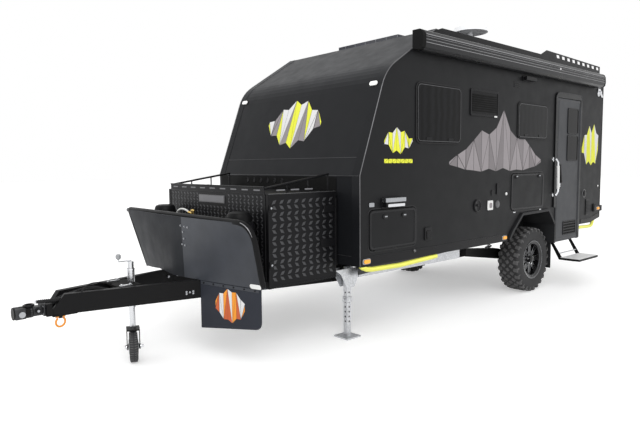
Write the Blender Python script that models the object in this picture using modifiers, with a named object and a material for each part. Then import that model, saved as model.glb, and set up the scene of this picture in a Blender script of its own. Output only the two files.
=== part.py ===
"""Hybrid caravan on an off-road chassis, in metres, +X towards the coupling, +Y the entry side, +Z up.

Pieces are drawn in the vehicle's own frame: x is 0 at the axle, y is 0 on the centre plane, z is 0 on
the ground. One root empty then shifts the whole vehicle so that it stands centred on the origin.
"""

import math

import bmesh
import bpy
from mathutils import Matrix, Vector

# Whole vehicle
SHIFT = Vector((-1.82, -0.13, 0.0))
GAP = 0.0003  # between pieces that touch
SWING_GAP = 0.006  # round a piece that opens

# Body shell
BODY_WIDTH = 2.19
WALL = 0.030
SIDE = BODY_WIDTH / 2
INNER = SIDE - WALL
SKIRT_Z = 0.707
FRONT_X = 3.155
NOSE_BREAK_Z = 1.498
KNEE = (2.824, 2.417)
KNEE_TANGENT = 0.150
ROOF_FRONT = (2.107, 2.872)
REAR_X = -1.824
REAR_TOP_Z = 2.790
REAR_LOW_Z = 0.812
REAR_KICK = (-1.500, 0.757)
DOOR_SILL_Z = 0.575
FLOOR_Z = 0.760
FLOOR_THICK = 0.040

# Wheels
TYRE_RADIUS = 0.400
TYRE_WIDTH = 0.267
TYRE_OUT_Y = 1.045
RIM_RADIUS = 0.2055
LUG_DEPTH = 0.012
LUG_COUNT = 22
RIM_WALL = 0.010
RIM_SPOKES = 8
HUB_FACE_Y = 0.955
DRUM_RADIUS = 0.140

# Wheel arch
ARCH_REAR_X = -0.385
ARCH_FRONT = (0.700, SKIRT_Z)
ARCH_POINTS = [
    ARCH_FRONT, (0.630, 0.795), (0.412, 0.982), (-0.222, 0.994), (ARCH_REAR_X, 0.815), (ARCH_REAR_X, DOOR_SILL_Z),
]
ARCH_LINER = 0.015
ARCH_LIP = 0.030
ARCH_LIP_OUT = 0.025
ARCH_INNER_Y = 0.680
MUD_FLAP_Y = (0.800, INNER - 0.004)
MUD_FLAP_Z = 0.245
MUD_FLAP_THICK = 0.012

# Entry door, its step and its grab handle
DOOR_FRONT_X = -0.425
DOOR_REAR_X = -1.076
DOOR_TOP_Z = 2.415
DOOR_PROUD = 0.010
DOOR_POST = 0.054
DOOR_BARREL = 0.0113
STEP_FRONT_X = -0.560
STEP_REAR_X = -1.080
STEP_PIVOT = (1.000, 0.560)
STEP_TREAD_Z = 0.345
STEP_TREAD_DEPTH = 0.250
STEP_TREAD_IN_Y = 1.130

# Windows and hatches in the side walls: front x, rear x, bottom z, top z
WINDOW_FRONT = (2.397, 1.692, 1.799, 2.344)
VENT = (1.508, 0.992, 2.103, 2.353)
WINDOW_REAR = (0.542, -0.146, 1.888, 2.286)
PICNIC = (0.679, -0.099, 1.043, 1.480)
BOOT = (3.051, 2.398, 0.833, 1.197)
CORNER = 0.050
GLASS_PROUD = 0.012
GLASS_THICK = 0.024
HATCH_PROUD = 0.006
HATCH_BARREL = 0.0082

# Chassis
RAIL_WIDTH = 0.050
RAIL_OUTER_Y = 0.645
RAIL_BOTTOM_Z = 0.655
RAIL_FRONT_X = 3.100
RAIL_REAR_X = -1.460
CROSS_Z = (0.610, 0.700)
CROSS_LENGTH = 0.060
DRAW_TOP_Z = 0.650
DRAW_BOTTOM_Z = 0.500
DRAW_TIP_TOP_X = 5.270
DRAW_TIP_BOTTOM_X = 5.385
DRAW_TIP_Y = 0.100
DRAW_SPREAD = 0.235
DRAW_REAR_X = 2.850

# Coupling, jockey stand and stabiliser legs
COUPLING_FRONT_X = 5.600
COUPLING_Z = 0.540
HEAD_PLATE = (5.355, 5.395)
HEAD_HALF = 0.090
HEAD_TOP_Z = 0.590
JOCKEY_X = 4.715
JOCKEY_SLEEVE = 0.030
JOCKEY_TUBE = 0.024
JOCKEY_TOP_Z = 0.810
JOCKEY_FORK_Z = 0.262
JOCKEY_TRAIL = 0.060
JOCKEY_WHEEL = 0.125
JOCKEY_WHEEL_WIDTH = 0.065
JOCKEY_HEADING = math.radians(68)
LEG_TUBE = 0.050
LEG_PIVOT_Z = 0.630
LEG_FRONT_X = 3.000
LEG_REAR_X = -1.330
LEG_FRONT_Y = 0.780
LEG_REAR_Y = 0.500
LEG_FOOT = 0.180

# Suspension
ARM_PIVOT = (0.950, 0.560)
ARM_IN_Y = 0.655
ARM_OUT_Y = 0.725
ARM_DEPTH = 0.090
COIL_X = 0.320
COIL_Y = 0.606

# Toolbox, stone guard and gas bottles
BOX_FRONT_X = 3.930
BOX_REAR_X = 3.180
BOX_WIDTH = 1.655
BOX_FLOOR_Z = 0.6503
BOX_TOP_Z = 1.359
BOX_SHEET = 0.005
BOX_DOOR = 0.026
BOX_DOOR_BOTTOM_Z = 0.593
BOX_HINGE_Z = (0.700, 1.300)
BOX_BARREL = 0.0057
TRAY_LIP_Z = 1.417
TRAY_LIP_INSET = 0.0475
TRAY_REAR_Z = 1.510
GUARD_X = 4.325
GUARD_HALF = 1.070
GUARD_TOP_SWEEP = 0.070
GUARD_LOW_SWEEP = 0.150
GUARD_TOP_Z = 1.165
GUARD_BOTTOM_Z = DRAW_TOP_Z + 0.002
GUARD_FAR_BOTTOM_Z = 0.585
GUARD_NEAR_Y = (1.045, 1.000)
GUARD_FAR_Y = (-1.065, -0.980)
GUARD_SHEET = 0.008
GUARD_TUBE = 0.022
GUARD_NEAR_CORNER = 0.170
GUARD_FAR_CORNER = 0.050
GUARD_COLUMNS = 12
GUARD_ROWS = 3
STAY = (4.110, 0.120)
FLAP_Y = (0.342, 0.990)
FLAP_BOTTOM_Z = (0.250, 0.335)
FLAP_CORNER = 0.060
FLAP_THICK = 0.006
TRAY_X = (3.960, 4.165)
TRAY_HALF = 0.760
BOTTLE_X = 4.066
BOTTLE_RADIUS = 0.130
BOTTLE_Y = (0.620, -0.650)
BOTTLE_BASE_Z = 0.665
BOTTLE_TOP_Z = 1.158
BOTTLE_SHOULDER = 0.055
BOTTLE_CROWN = 0.012
SHOULDER_STEPS = 5

# Side tubes, side guards, tank, awning and roof
TANK_HALF = 0.640
TANK_X = (2.380, 1.060)
TANK_BOTTOM_Z = 0.545
TANK_CHAMFER = (0.240, 0.015)
SIDE_TUBE = 0.023
SIDE_TUBE_Y = SIDE - 0.015
SIDE_GUARD_Y = 0.885
SIDE_GUARD_X = (2.967, 1.384)
SIDE_GUARD_BOTTOM_Z = (0.571, 0.563)
SIDE_GUARD_THICK = 0.015
AWNING = (2.465, -1.581)
AWNING_BOTTOM_Z = 2.625
AWNING_DEPTH = 0.125
AWNING_HEIGHT = 0.180
ROOF_RAIL_Y = SIDE - 0.045
ROOF_RAIL_THICK = 0.006
ROOF_RAIL_X = (2.060, -1.790)
ROOF_RAIL_STEP_X = (-0.060, -0.200)
ROOF_RAIL_LOW_Z = 2.910
ROOF_RAIL_HIGH_Z = (2.975, 2.945)
ROOF_RAIL_SLANT = 0.110
SOLAR = (1.900, 0.450)
SOLAR_HALF = 0.450
SOLAR_Z = 2.945
ANTENNA = (0.780, 0.600)
ANTENNA_Z = 3.165
ANTENNA_RADIUS = 0.200
BUMPER_Z = 0.930
BUMPER_HALF = SIDE - 0.015
LAMP_DEPTH = 0.050
PORCH_LAMP = (0.450, 0.210, 2.545, 2.587)
WORK_LAMP = (2.870, 2.620, 1.212, 1.282)


def clear_scene():
    for obj in list(bpy.data.objects):
        bpy.data.objects.remove(obj, do_unlink=True)


def new_collection(name):
    collection = bpy.data.collections.new(name)
    bpy.context.scene.collection.children.link(collection)
    return collection


clear_scene()
PARTS = new_collection("Hybrid_caravan")
CUTTERS = new_collection("Cutters")
ROOT = bpy.data.objects.new("vehicle", None)
ROOT.location = SHIFT
PARTS.objects.link(ROOT)


def material(name, colour, roughness, metallic=0.0):
    made = bpy.data.materials.new(name)
    made.use_nodes = True
    shader = made.node_tree.nodes["Principled BSDF"]
    shader.inputs["Base Color"].default_value = (*colour, 1.0)
    shader.inputs["Roughness"].default_value = roughness
    shader.inputs["Metallic"].default_value = metallic
    return made


CHARCOAL = material("charcoal_panel", (0.105, 0.110, 0.118), 0.35)
NOSE_GREY = material("nose_panel_grey", (0.120, 0.125, 0.140), 0.30)
FRAME_BLACK = material("frame_black", (0.020, 0.020, 0.022), 0.45)
CHECKER = material("checker_plate", (0.060, 0.062, 0.066), 0.35, 0.7)
RUBBER = material("rubber", (0.018, 0.018, 0.018), 0.85)
RIM_BLACK = material("rim_black", (0.015, 0.015, 0.016), 0.30, 0.4)
GALVANISED = material("galvanised", (0.52, 0.53, 0.55), 0.40, 0.9)
LIME = material("lime_paint", (0.62, 0.74, 0.02), 0.40)
GLASS = material("tinted_glass", (0.020, 0.022, 0.024), 0.10)
WHITE = material("white_plastic", (0.75, 0.75, 0.74), 0.45)
CHROME = material("chrome", (0.70, 0.71, 0.72), 0.15, 1.0)


def axis_empty(name, point):
    """An empty on a joint's axis, which carries what moves there."""
    empty = bpy.data.objects.new(name, None)
    PARTS.objects.link(empty)
    empty.parent = ROOT
    empty.location = point
    return empty


def adopt(obj, name, finish, carrier=None):
    """Names a finished piece, gives it its finish and hangs it on the root or on a joint's empty."""
    obj.name = name
    obj.data.name = name
    obj.data.materials.clear()
    obj.data.materials.append(finish)
    obj.parent = carrier or ROOT
    obj.location = -Vector(carrier.location) if carrier else Vector()
    for collection in list(obj.users_collection):
        collection.objects.unlink(obj)
    PARTS.objects.link(obj)
    return obj


def settle(obj):
    """Moves the object's transform into its mesh."""
    bpy.context.view_layer.update()
    obj.data.transform(obj.matrix_world)
    obj.matrix_world = Matrix.Identity(4)
    return obj


def from_primitive():
    return settle(bpy.context.active_object)


def box(x0, x1, y0, y1, z0, z1):
    bpy.ops.mesh.primitive_cube_add(size=1.0, location=((x0 + x1) / 2, (y0 + y1) / 2, (z0 + z1) / 2))
    bpy.context.active_object.scale = (abs(x1 - x0), abs(y1 - y0), abs(z1 - z0))
    return from_primitive()


def cylinder(start, end, radius, sides=16, end_radius=None):
    start = Vector(start)
    end = Vector(end)
    along = end - start
    bpy.ops.mesh.primitive_cone_add(
        vertices=sides,
        radius1=radius,
        radius2=radius if end_radius is None else end_radius,
        depth=along.length,
        location=(start + end) / 2,
        rotation=along.to_track_quat("Z", "Y").to_euler(),
    )
    return from_primitive()


def mesh_of(curve_object):
    """Makes a mesh object from a curve object, its caps welded to its sides."""
    bpy.context.view_layer.update()
    graph = bpy.context.evaluated_depsgraph_get()
    mesh = bpy.data.meshes.new_from_object(curve_object.evaluated_get(graph))
    made = bpy.data.objects.new("piece", mesh)
    made.matrix_world = curve_object.matrix_world
    PARTS.objects.link(made)
    bpy.data.objects.remove(curve_object, do_unlink=True)
    work = bmesh.new()
    work.from_mesh(mesh)
    bmesh.ops.remove_doubles(work, verts=work.verts, dist=0.00002)
    bmesh.ops.recalc_face_normals(work, faces=work.faces)
    work.to_mesh(mesh)
    work.free()
    return settle(made)


def plate(points, thickness):
    """A flat outline in the XY plane, extruded half its thickness each way."""
    curve = bpy.data.curves.new("outline", "CURVE")
    curve.dimensions = "2D"
    curve.fill_mode = "BOTH"
    curve.extrude = thickness / 2
    spline = curve.splines.new("POLY")
    spline.points.add(len(points) - 1)
    for point, (u, v) in zip(spline.points, points):
        point.co = (u, v, 0.0, 1.0)
    spline.use_cyclic_u = True
    obj = bpy.data.objects.new("outline", curve)
    PARTS.objects.link(obj)
    return mesh_of(obj)


def side_plate(points, y0, y1):
    """An outline of (x, z) points between two y planes."""
    made = plate(points, abs(y1 - y0))
    made.data.transform(Matrix.Rotation(math.pi / 2, 4, "X"))
    made.data.transform(Matrix.Translation((0.0, (y0 + y1) / 2, 0.0)))
    return made


def front_plate(points, x0, x1):
    """An outline of (y, z) points between two x planes."""
    made = plate(points, abs(x1 - x0))
    made.data.transform(Matrix(((0, 0, 1, 0), (1, 0, 0, 0), (0, 1, 0, 0), (0, 0, 0, 1))))
    made.data.transform(Matrix.Translation(((x0 + x1) / 2, 0.0, 0.0)))
    return made


def tube(points, radius, resolution=2):
    curve = bpy.data.curves.new("tube", "CURVE")
    curve.dimensions = "3D"
    curve.bevel_depth = radius
    curve.bevel_resolution = resolution
    curve.use_fill_caps = True
    spline = curve.splines.new("POLY")
    spline.points.add(len(points) - 1)
    for point, place in zip(spline.points, points):
        point.co = (*place, 1.0)
    obj = bpy.data.objects.new("tube", curve)
    PARTS.objects.link(obj)
    return mesh_of(obj)


def turned(profile, sides, closed=True):
    """A profile of (radius, height) points turned round the Z axis, listed from the top of its outer side."""
    work = bmesh.new()
    verts = [work.verts.new((radius, 0.0, along)) for radius, along in profile]
    for first, second in zip(verts, verts[1:] + (verts[:1] if closed else [])):
        work.edges.new((first, second))
    mesh = bpy.data.meshes.new("turned")
    work.to_mesh(mesh)
    work.free()
    obj = bpy.data.objects.new("turned", mesh)
    PARTS.objects.link(obj)
    screw = obj.modifiers.new("turn", "SCREW")
    screw.steps = sides
    screw.render_steps = sides
    screw.use_merge_vertices = True
    screw.merge_threshold = 0.00005
    bpy.context.view_layer.update()
    graph = bpy.context.evaluated_depsgraph_get()
    turned_mesh = bpy.data.meshes.new_from_object(obj.evaluated_get(graph))
    bpy.data.objects.remove(obj, do_unlink=True)
    made = bpy.data.objects.new("turned", turned_mesh)
    PARTS.objects.link(made)
    work = bmesh.new()
    work.from_mesh(turned_mesh)
    bmesh.ops.remove_doubles(work, verts=work.verts, dist=0.00002)
    bmesh.ops.recalc_face_normals(work, faces=work.faces)
    work.to_mesh(turned_mesh)
    work.free()
    return made


def on_axle(obj, centre):
    """Turns a piece made round the Z axis onto a wheel's axis."""
    obj.data.transform(Matrix.Rotation(-math.pi / 2, 4, "X"))
    obj.data.transform(Matrix.Translation(centre))
    return obj


def hide(obj):
    """Puts a cutter in its own collection, drawn as wires only."""
    for collection in list(obj.users_collection):
        collection.objects.unlink(obj)
    CUTTERS.objects.link(obj)
    obj.parent = ROOT
    obj.location = Vector()
    obj.hide_render = True
    obj.display_type = "WIRE"
    return obj


def bake(target, other, operation):
    """Cuts or joins at once, and removes the second mesh."""
    modifier = target.modifiers.new(operation.lower(), "BOOLEAN")
    modifier.operation = operation
    modifier.solver = "EXACT"
    modifier.object = other
    bpy.context.view_layer.update()
    graph = bpy.context.evaluated_depsgraph_get()
    mesh = bpy.data.meshes.new_from_object(target.evaluated_get(graph))
    target.modifiers.clear()
    target.data = mesh
    bpy.data.objects.remove(other, do_unlink=True)
    return target


def join(target, *others):
    for other in others:
        bake(target, other, "UNION")
    return target


def cut(target, *others):
    for other in others:
        bake(target, other, "DIFFERENCE")
    return target


def carve(target, *cutters):
    """Cuts with live modifiers, whose cutters stay in their own collection."""
    for cutter in cutters:
        modifier = target.modifiers.new("opening", "BOOLEAN")
        modifier.operation = "DIFFERENCE"
        modifier.solver = "EXACT"
        modifier.object = hide(cutter)
    return target


def mirrored(obj):
    """A copy on the other side of the centre plane."""
    copy = obj.copy()
    copy.data = obj.data.copy()
    copy.data.transform(Matrix.Scale(-1.0, 4, (0.0, 1.0, 0.0)))
    copy.data.flip_normals()
    PARTS.objects.link(copy)
    return copy


def smooth(obj, angle=35.0):
    obj.data.shade_smooth()
    obj.data.set_sharp_from_angle(angle=math.radians(angle))
    return obj


def offset_path(points, distance, closed=False):
    """The path moved to its left by a distance, with mitred corners."""
    count = len(points)
    moved = []
    for i, here in enumerate(points):
        here = Vector(here)
        before = Vector(points[i - 1]) if closed or i > 0 else None
        after = Vector(points[(i + 1) % count]) if closed or i < count - 1 else None
        normals = []
        for a, b in ((before, here), (here, after)):
            if a is not None and b is not None:
                along = (b - a).normalized()
                normals.append(Vector((-along.y, along.x)))
        middle = sum(normals, Vector((0.0, 0.0))).normalized()
        moved.append(tuple(here + middle * (distance / middle.dot(normals[0]))))
    return moved


def rounded(x0, x1, z0, z1, radius, steps=4):
    """A rectangle's outline with round corners."""
    low_x, high_x = min(x0, x1) + radius, max(x0, x1) - radius
    low_z, high_z = min(z0, z1) + radius, max(z0, z1) - radius
    outline = []
    for cx, cz, start in ((high_x, high_z, 0), (low_x, high_z, 90), (low_x, low_z, 180), (high_x, low_z, 270)):
        for k in range(steps + 1):
            angle = math.radians(start + 90 * k / steps)
            outline.append((cx + radius * math.cos(angle), cz + radius * math.sin(angle)))
    return outline


def grown(opening, by):
    front, rear, low, high = opening
    return (front + by, rear - by, low - by, high + by)


def opening_cutter(opening, margin=0.0):
    front, rear, low, high = grown(opening, margin)
    return side_plate(rounded(front, rear, low, high, CORNER + margin), INNER - 0.1, SIDE + 0.1)


def eased(before, corner, after, tangent, steps=6):
    """Points of the bend that takes a corner's place, between two tangents of the given length."""
    before, corner, after = Vector(before), Vector(corner), Vector(after)
    start = corner + (before - corner).normalized() * tangent
    end = corner + (after - corner).normalized() * tangent
    bend = []
    for k in range(steps + 1):
        t = k / steps
        bend.append(tuple(start * (1 - t) ** 2 + corner * (2 * t * (1 - t)) + end * t ** 2))
    return bend


BODY_PROFILE = [
    (FRONT_X, SKIRT_Z),
    (FRONT_X, NOSE_BREAK_Z),
    *eased((FRONT_X, NOSE_BREAK_Z), KNEE, ROOF_FRONT, KNEE_TANGENT),
    ROOF_FRONT,
    (REAR_X, REAR_TOP_Z),
    (REAR_X, REAR_LOW_Z),
    REAR_KICK,
]
ROOF_START = BODY_PROFILE.index(ROOF_FRONT)


def make_walls():
    """Both side walls, with the entry door's opening only on the left."""
    sill = [
        (DOOR_REAR_X - DOOR_POST, REAR_KICK[1]),
        (DOOR_REAR_X - DOOR_POST, DOOR_SILL_Z),
        (ARCH_POINTS[-1][0], DOOR_SILL_Z),
    ]
    arch_cut = offset_path(ARCH_POINTS, -(ARCH_LINER + GAP))
    outline = BODY_PROFILE + sill[:2] + [(arch_cut[-1][0], DOOR_SILL_Z)] + arch_cut[::-1][1:-1]
    above, below = (Vector(p) for p in arch_cut[1::-1])
    outline.append(tuple(above.lerp(below, (above.y - SKIRT_Z) / (above.y - below.y))))
    left = side_plate(outline, INNER, SIDE)
    right = mirrored(left)
    for opening in (WINDOW_FRONT, WINDOW_REAR, VENT, PICNIC, BOOT):
        carve(left, opening_cutter(opening))
    door = box(DOOR_REAR_X, DOOR_FRONT_X, INNER - 0.1, SIDE + 0.1, DOOR_SILL_Z - 0.1, DOOR_TOP_Z)
    carve(left, door)
    for opening in (WINDOW_FRONT, WINDOW_REAR, BOOT):
        cutter = opening_cutter(opening)
        cutter.data.transform(Matrix.Translation((0.0, -2 * SIDE, 0.0)))
        carve(right, cutter)
    adopt(left, "wall_left", CHARCOAL)
    adopt(right, "wall_right", CHARCOAL)


def body_panel(first, last):
    """The stretch of the body profile between two of its corners, as thick as the wall, with mitred ends."""
    inner = offset_path(BODY_PROFILE, WALL, closed=False)
    outer_run = [Vector(p) for p in BODY_PROFILE[first:last + 1]]
    inner_run = [Vector(p) for p in inner[first:last + 1]]
    for run in (outer_run, inner_run):
        run[0] = run[0] + (run[1] - run[0]).normalized() * GAP
        run[-1] = run[-1] + (run[-2] - run[-1]).normalized() * GAP
    outline = [tuple(p) for p in outer_run + inner_run[::-1]]
    return side_plate(outline, -(INNER - GAP), INNER - GAP)


def make_shell():
    adopt(smooth(body_panel(0, ROOF_START), 20), "nose_panel", NOSE_GREY)
    adopt(body_panel(ROOF_START, ROOF_START + 1), "roof_panel", CHARCOAL)
    adopt(body_panel(ROOF_START + 1, ROOF_START + 3), "rear_panel", CHARCOAL)
    floor = box(REAR_KICK[0] + WALL, FRONT_X - WALL - GAP, -(INNER - GAP), INNER - GAP, FLOOR_Z, FLOOR_Z + FLOOR_THICK)
    well = offset_path(ARCH_POINTS, -(ARCH_LINER + GAP))
    for side in (1, -1):
        low, high = sorted((side * (ARCH_INNER_Y - GAP), side * (SIDE + 0.1)))
        cut(floor, box(well[-1][0], well[0][0], low, high, FLOOR_Z - 0.1, FLOOR_Z + 0.1))
    adopt(floor, "floor_deck", FRAME_BLACK)


def make_windows():
    for side, name in ((1, "left"), (-1, "right")):
        for opening, label in ((WINDOW_FRONT, "front"), (WINDOW_REAR, "rear")):
            front, rear, low, high = grown(opening, -GAP)
            outline = rounded(front, rear, low, high, CORNER)
            outer = SIDE + GLASS_PROUD
            pane = side_plate(outline, outer - GLASS_THICK, outer)
            if side < 0:
                pane.data.transform(Matrix.Scale(-1.0, 4, (0.0, 1.0, 0.0)))
                pane.data.flip_normals()
            adopt(pane, f"window_{label}_{name}", GLASS)
    front, rear, low, high = grown(VENT, -GAP)
    vent = side_plate(rounded(front, rear, low, high, CORNER), SIDE - 0.018, SIDE + 0.006)
    adopt(vent, "vent_left", FRAME_BLACK)


def make_hatch(name, opening, side, finish):
    """A panel hinged along its bottom edge, in the opening of a side wall."""
    front, rear, low, high = grown(opening, -SWING_GAP)
    panel = side_plate(rounded(front, rear, low, high, CORNER - SWING_GAP), INNER + 0.002, SIDE + HATCH_PROUD)
    hinge_y = SIDE + HATCH_PROUD
    join(panel, cylinder((front - 0.06, hinge_y, low), (rear + 0.06, hinge_y, low), HATCH_BARREL, 12))
    if side < 0:
        panel.data.transform(Matrix.Scale(-1.0, 4, (0.0, 1.0, 0.0)))
        panel.data.flip_normals()
    axis = axis_empty(f"axis_{name}", (0.5 * (front + rear), side * hinge_y, low))
    adopt(panel, name, finish, axis)


def make_hatches():
    make_hatch("picnic_hatch", PICNIC, 1, CHARCOAL)
    make_hatch("boot_hatch_left", BOOT, 1, CHARCOAL)
    make_hatch("boot_hatch_right", BOOT, -1, CHARCOAL)


def make_door():
    """The entry door, hinged on its rear edge."""
    rear = DOOR_REAR_X + SWING_GAP
    front = DOOR_FRONT_X - SWING_GAP
    low = DOOR_SILL_Z + 0.010
    high = DOOR_TOP_Z - SWING_GAP
    hinge_y = SIDE + DOOR_PROUD
    door = box(rear, front, INNER, hinge_y, low, high)
    join(door, cylinder((rear, hinge_y, low + 0.08), (rear, hinge_y, high - 0.08), DOOR_BARREL, 12))
    axis = axis_empty("axis_entry_door", (rear, hinge_y, (low + high) / 2))
    adopt(door, "entry_door", CHARCOAL, axis)


def make_arches():
    """Liner, lip and rear mud flap of each wheel arch, in one piece."""
    liner = side_plate(offset_path(ARCH_POINTS, -ARCH_LINER), ARCH_INNER_Y, SIDE + ARCH_LIP_OUT)
    lip = side_plate(offset_path(ARCH_POINTS, -ARCH_LIP), SIDE + GAP, SIDE + ARCH_LIP_OUT + 0.001)
    hollow = [(ARCH_FRONT[0] + 0.2, ARCH_FRONT[1] - 0.25)] + ARCH_POINTS[1:-1] + [(ARCH_REAR_X, DOOR_SILL_Z - 0.25)]
    arch = cut(join(liner, lip), side_plate(hollow, ARCH_INNER_Y + ARCH_LINER, SIDE + 1.0))
    flap_rear = ARCH_REAR_X - ARCH_LINER - 0.023
    flap_front = flap_rear + MUD_FLAP_THICK
    flap = [
        (flap_rear, MUD_FLAP_Z), (flap_front, MUD_FLAP_Z), (flap_front, DOOR_SILL_Z), (ARCH_REAR_X - 0.005, 0.595),
        (ARCH_REAR_X - 0.005, 0.650), (flap_rear, 0.650),
    ]
    join(arch, side_plate(flap, *MUD_FLAP_Y))
    other = mirrored(arch)
    adopt(arch, "wheel_arch_left", FRAME_BLACK)
    adopt(other, "wheel_arch_right", FRAME_BLACK)


def draw_outer_y(x):
    return DRAW_TIP_Y + DRAW_SPREAD * (DRAW_TIP_TOP_X - x)


def draw_rail():
    """One rail of the drawbar, drawn along X with its chamfered tip and then swung out."""
    angle = math.atan(DRAW_SPREAD)
    stretch = 1.0 / math.cos(angle)
    tip_top = 0.0
    tip_bottom = (DRAW_TIP_BOTTOM_X - DRAW_TIP_TOP_X) * stretch
    rear = (DRAW_REAR_X - DRAW_TIP_TOP_X) * stretch
    outline = [(rear, DRAW_BOTTOM_Z), (tip_bottom, DRAW_BOTTOM_Z), (tip_top, DRAW_TOP_Z), (rear, DRAW_TOP_Z)]
    rail = side_plate(outline, -RAIL_WIDTH, 0.0)
    rail.data.transform(Matrix.Rotation(-angle, 4, "Z"))
    rail.data.transform(Matrix.Translation((DRAW_TIP_TOP_X, DRAW_TIP_Y, 0.0)))
    return rail


def make_chassis():
    """Main rails, cross members, drawbar, pivot brackets and leg brackets, welded as one."""
    rail_top = FLOOR_Z - GAP
    inner = RAIL_OUTER_Y - RAIL_WIDTH
    frame = box(RAIL_REAR_X, RAIL_FRONT_X, inner, RAIL_OUTER_Y, RAIL_BOTTOM_Z, rail_top)
    join(frame, box(RAIL_REAR_X, RAIL_FRONT_X, -RAIL_OUTER_Y, -inner, RAIL_BOTTOM_Z, rail_top))
    reach = RAIL_OUTER_Y - 0.010
    for x in (3.020, 2.450, ARM_PIVOT[0] + 0.020, -0.480, RAIL_REAR_X + 0.040):
        join(frame, box(x - CROSS_LENGTH / 2, x + CROSS_LENGTH / 2, -reach, reach, *CROSS_Z))
    rail = draw_rail()
    join(frame, rail, mirrored(rail))
    join(frame, box(4.780, 4.840, -0.190, 0.190, 0.520, 0.635))
    join(frame, box(HEAD_PLATE[0], HEAD_PLATE[1], -HEAD_HALF, HEAD_HALF, DRAW_BOTTOM_Z, HEAD_TOP_Z))
    join(frame, box(TRAY_X[0], TRAY_X[1], -TRAY_HALF, TRAY_HALF, DRAW_TOP_Z - 0.030, BOTTLE_BASE_Z - GAP))
    for side in (1, -1):
        low, high = sorted((side * (RAIL_OUTER_Y - 0.03), side * (ARM_IN_Y - GAP)))
        join(frame, box(ARM_PIVOT[0] - 0.06, ARM_PIVOT[0] + 0.06, low, high, ARM_PIVOT[1] - 0.06, RAIL_BOTTOM_Z + 0.02))
    front_bracket = (RAIL_OUTER_Y - 0.02, LEG_FRONT_Y - LEG_TUBE / 2 - GAP)
    rear_bracket = (LEG_REAR_Y + LEG_TUBE / 2 + GAP, inner + 0.02)
    for x, bracket in ((LEG_FRONT_X, front_bracket), (LEG_REAR_X, rear_bracket)):
        for side in (1, -1):
            low, high = sorted(side * y for y in bracket)
            join(frame, box(x - 0.05, x + 0.05, low, high, LEG_PIVOT_Z - 0.04, LEG_PIVOT_Z + 0.10))
    adopt(frame, "chassis_frame", FRAME_BLACK)


def make_coupling():
    """The off-road hitch: a plate on the rails' tips, a neck and a housing with a flat front."""
    flange = box(HEAD_PLATE[1] + GAP, HEAD_PLATE[1] + 0.014, -0.070, 0.070, 0.505, HEAD_TOP_Z)
    neck = box(HEAD_PLATE[1] + 0.010, 5.500, -0.032, 0.032, 0.512, 0.572)
    housing = cylinder((5.470, 0.0, COUPLING_Z), (COUPLING_FRONT_X, 0.0, COUPLING_Z), 0.045, 16)
    adopt(join(flange, neck, housing), "coupling", GALVANISED)


def about_post(obj):
    """Turns a castor piece, drawn with its trail along X, to the way the castor stands."""
    post = Matrix.Translation((JOCKEY_X, 0.0, 0.0))
    obj.data.transform(post @ Matrix.Rotation(JOCKEY_HEADING, 4, "Z") @ post.inverted())
    return obj


def make_jockey():
    """Sleeve clamped to the drawbar, the leg that winds up in it, its castor fork and its wheel."""
    centre = Vector((JOCKEY_X, 0.0, 0.0))
    sleeve = cylinder(centre + Vector((0, 0, 0.440)), centre + Vector((0, 0, 0.760)), JOCKEY_SLEEVE, 16)
    cut(sleeve, cylinder(centre + Vector((0, 0, 0.40)), centre + Vector((0, 0, 0.80)), JOCKEY_TUBE + GAP * 2, 16))
    bracket = box(JOCKEY_X + JOCKEY_SLEEVE - 0.004, 4.780 - GAP, -0.050, 0.050, 0.530, 0.630)
    adopt(join(sleeve, bracket), "jockey_sleeve", GALVANISED)
    leg = cylinder(centre + Vector((0, 0, JOCKEY_FORK_Z + 0.010 + GAP)), centre + Vector((0, 0, JOCKEY_TOP_Z)), JOCKEY_TUBE, 16)
    crank = tube([
        (JOCKEY_X, 0.0, JOCKEY_TOP_Z - 0.01),
        (JOCKEY_X, 0.0, JOCKEY_TOP_Z + 0.014),
        (JOCKEY_X + 0.100, 0.0, JOCKEY_TOP_Z + 0.016),
        (JOCKEY_X + 0.100, 0.0, JOCKEY_TOP_Z + 0.060),
    ], 0.008)
    adopt(join(leg, crank), "jockey_leg", GALVANISED, axis_empty("axis_jockey_leg", (JOCKEY_X, 0.0, JOCKEY_FORK_Z)))
    wheel_x = JOCKEY_X + JOCKEY_TRAIL
    top = box(JOCKEY_X - 0.035, wheel_x + 0.030, -0.052, 0.052, JOCKEY_FORK_Z - 0.002, JOCKEY_FORK_Z + 0.010)
    for side in (1, -1):
        low, high = sorted((side * 0.046, side * 0.052))
        join(top, box(wheel_x - 0.030, wheel_x + 0.025, low, high, JOCKEY_WHEEL - 0.020, JOCKEY_FORK_Z + 0.004))
    pin = cylinder((wheel_x, -0.056, JOCKEY_WHEEL), (wheel_x, 0.056, JOCKEY_WHEEL), 0.008, 10)
    adopt(about_post(join(top, pin)), "jockey_fork", FRAME_BLACK, axis_empty("axis_jockey_fork", (JOCKEY_X, 0.0, JOCKEY_FORK_Z)))
    half = JOCKEY_WHEEL_WIDTH / 2
    profile = [
        (JOCKEY_WHEEL, half - 0.015), (JOCKEY_WHEEL, -half + 0.015), (JOCKEY_WHEEL - 0.015, -half),
        (0.0085, -half), (0.0085, half), (JOCKEY_WHEEL - 0.015, half),
    ]
    wheel = about_post(smooth(on_axle(turned(profile, 28), (wheel_x, 0.0, JOCKEY_WHEEL))))
    trail = Matrix.Rotation(JOCKEY_HEADING, 3, "Z") @ Vector((JOCKEY_TRAIL, 0.0, 0.0))
    adopt(wheel, "jockey_wheel", RUBBER, axis_empty("axis_jockey_wheel", centre + trail + Vector((0, 0, JOCKEY_WHEEL))))


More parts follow.
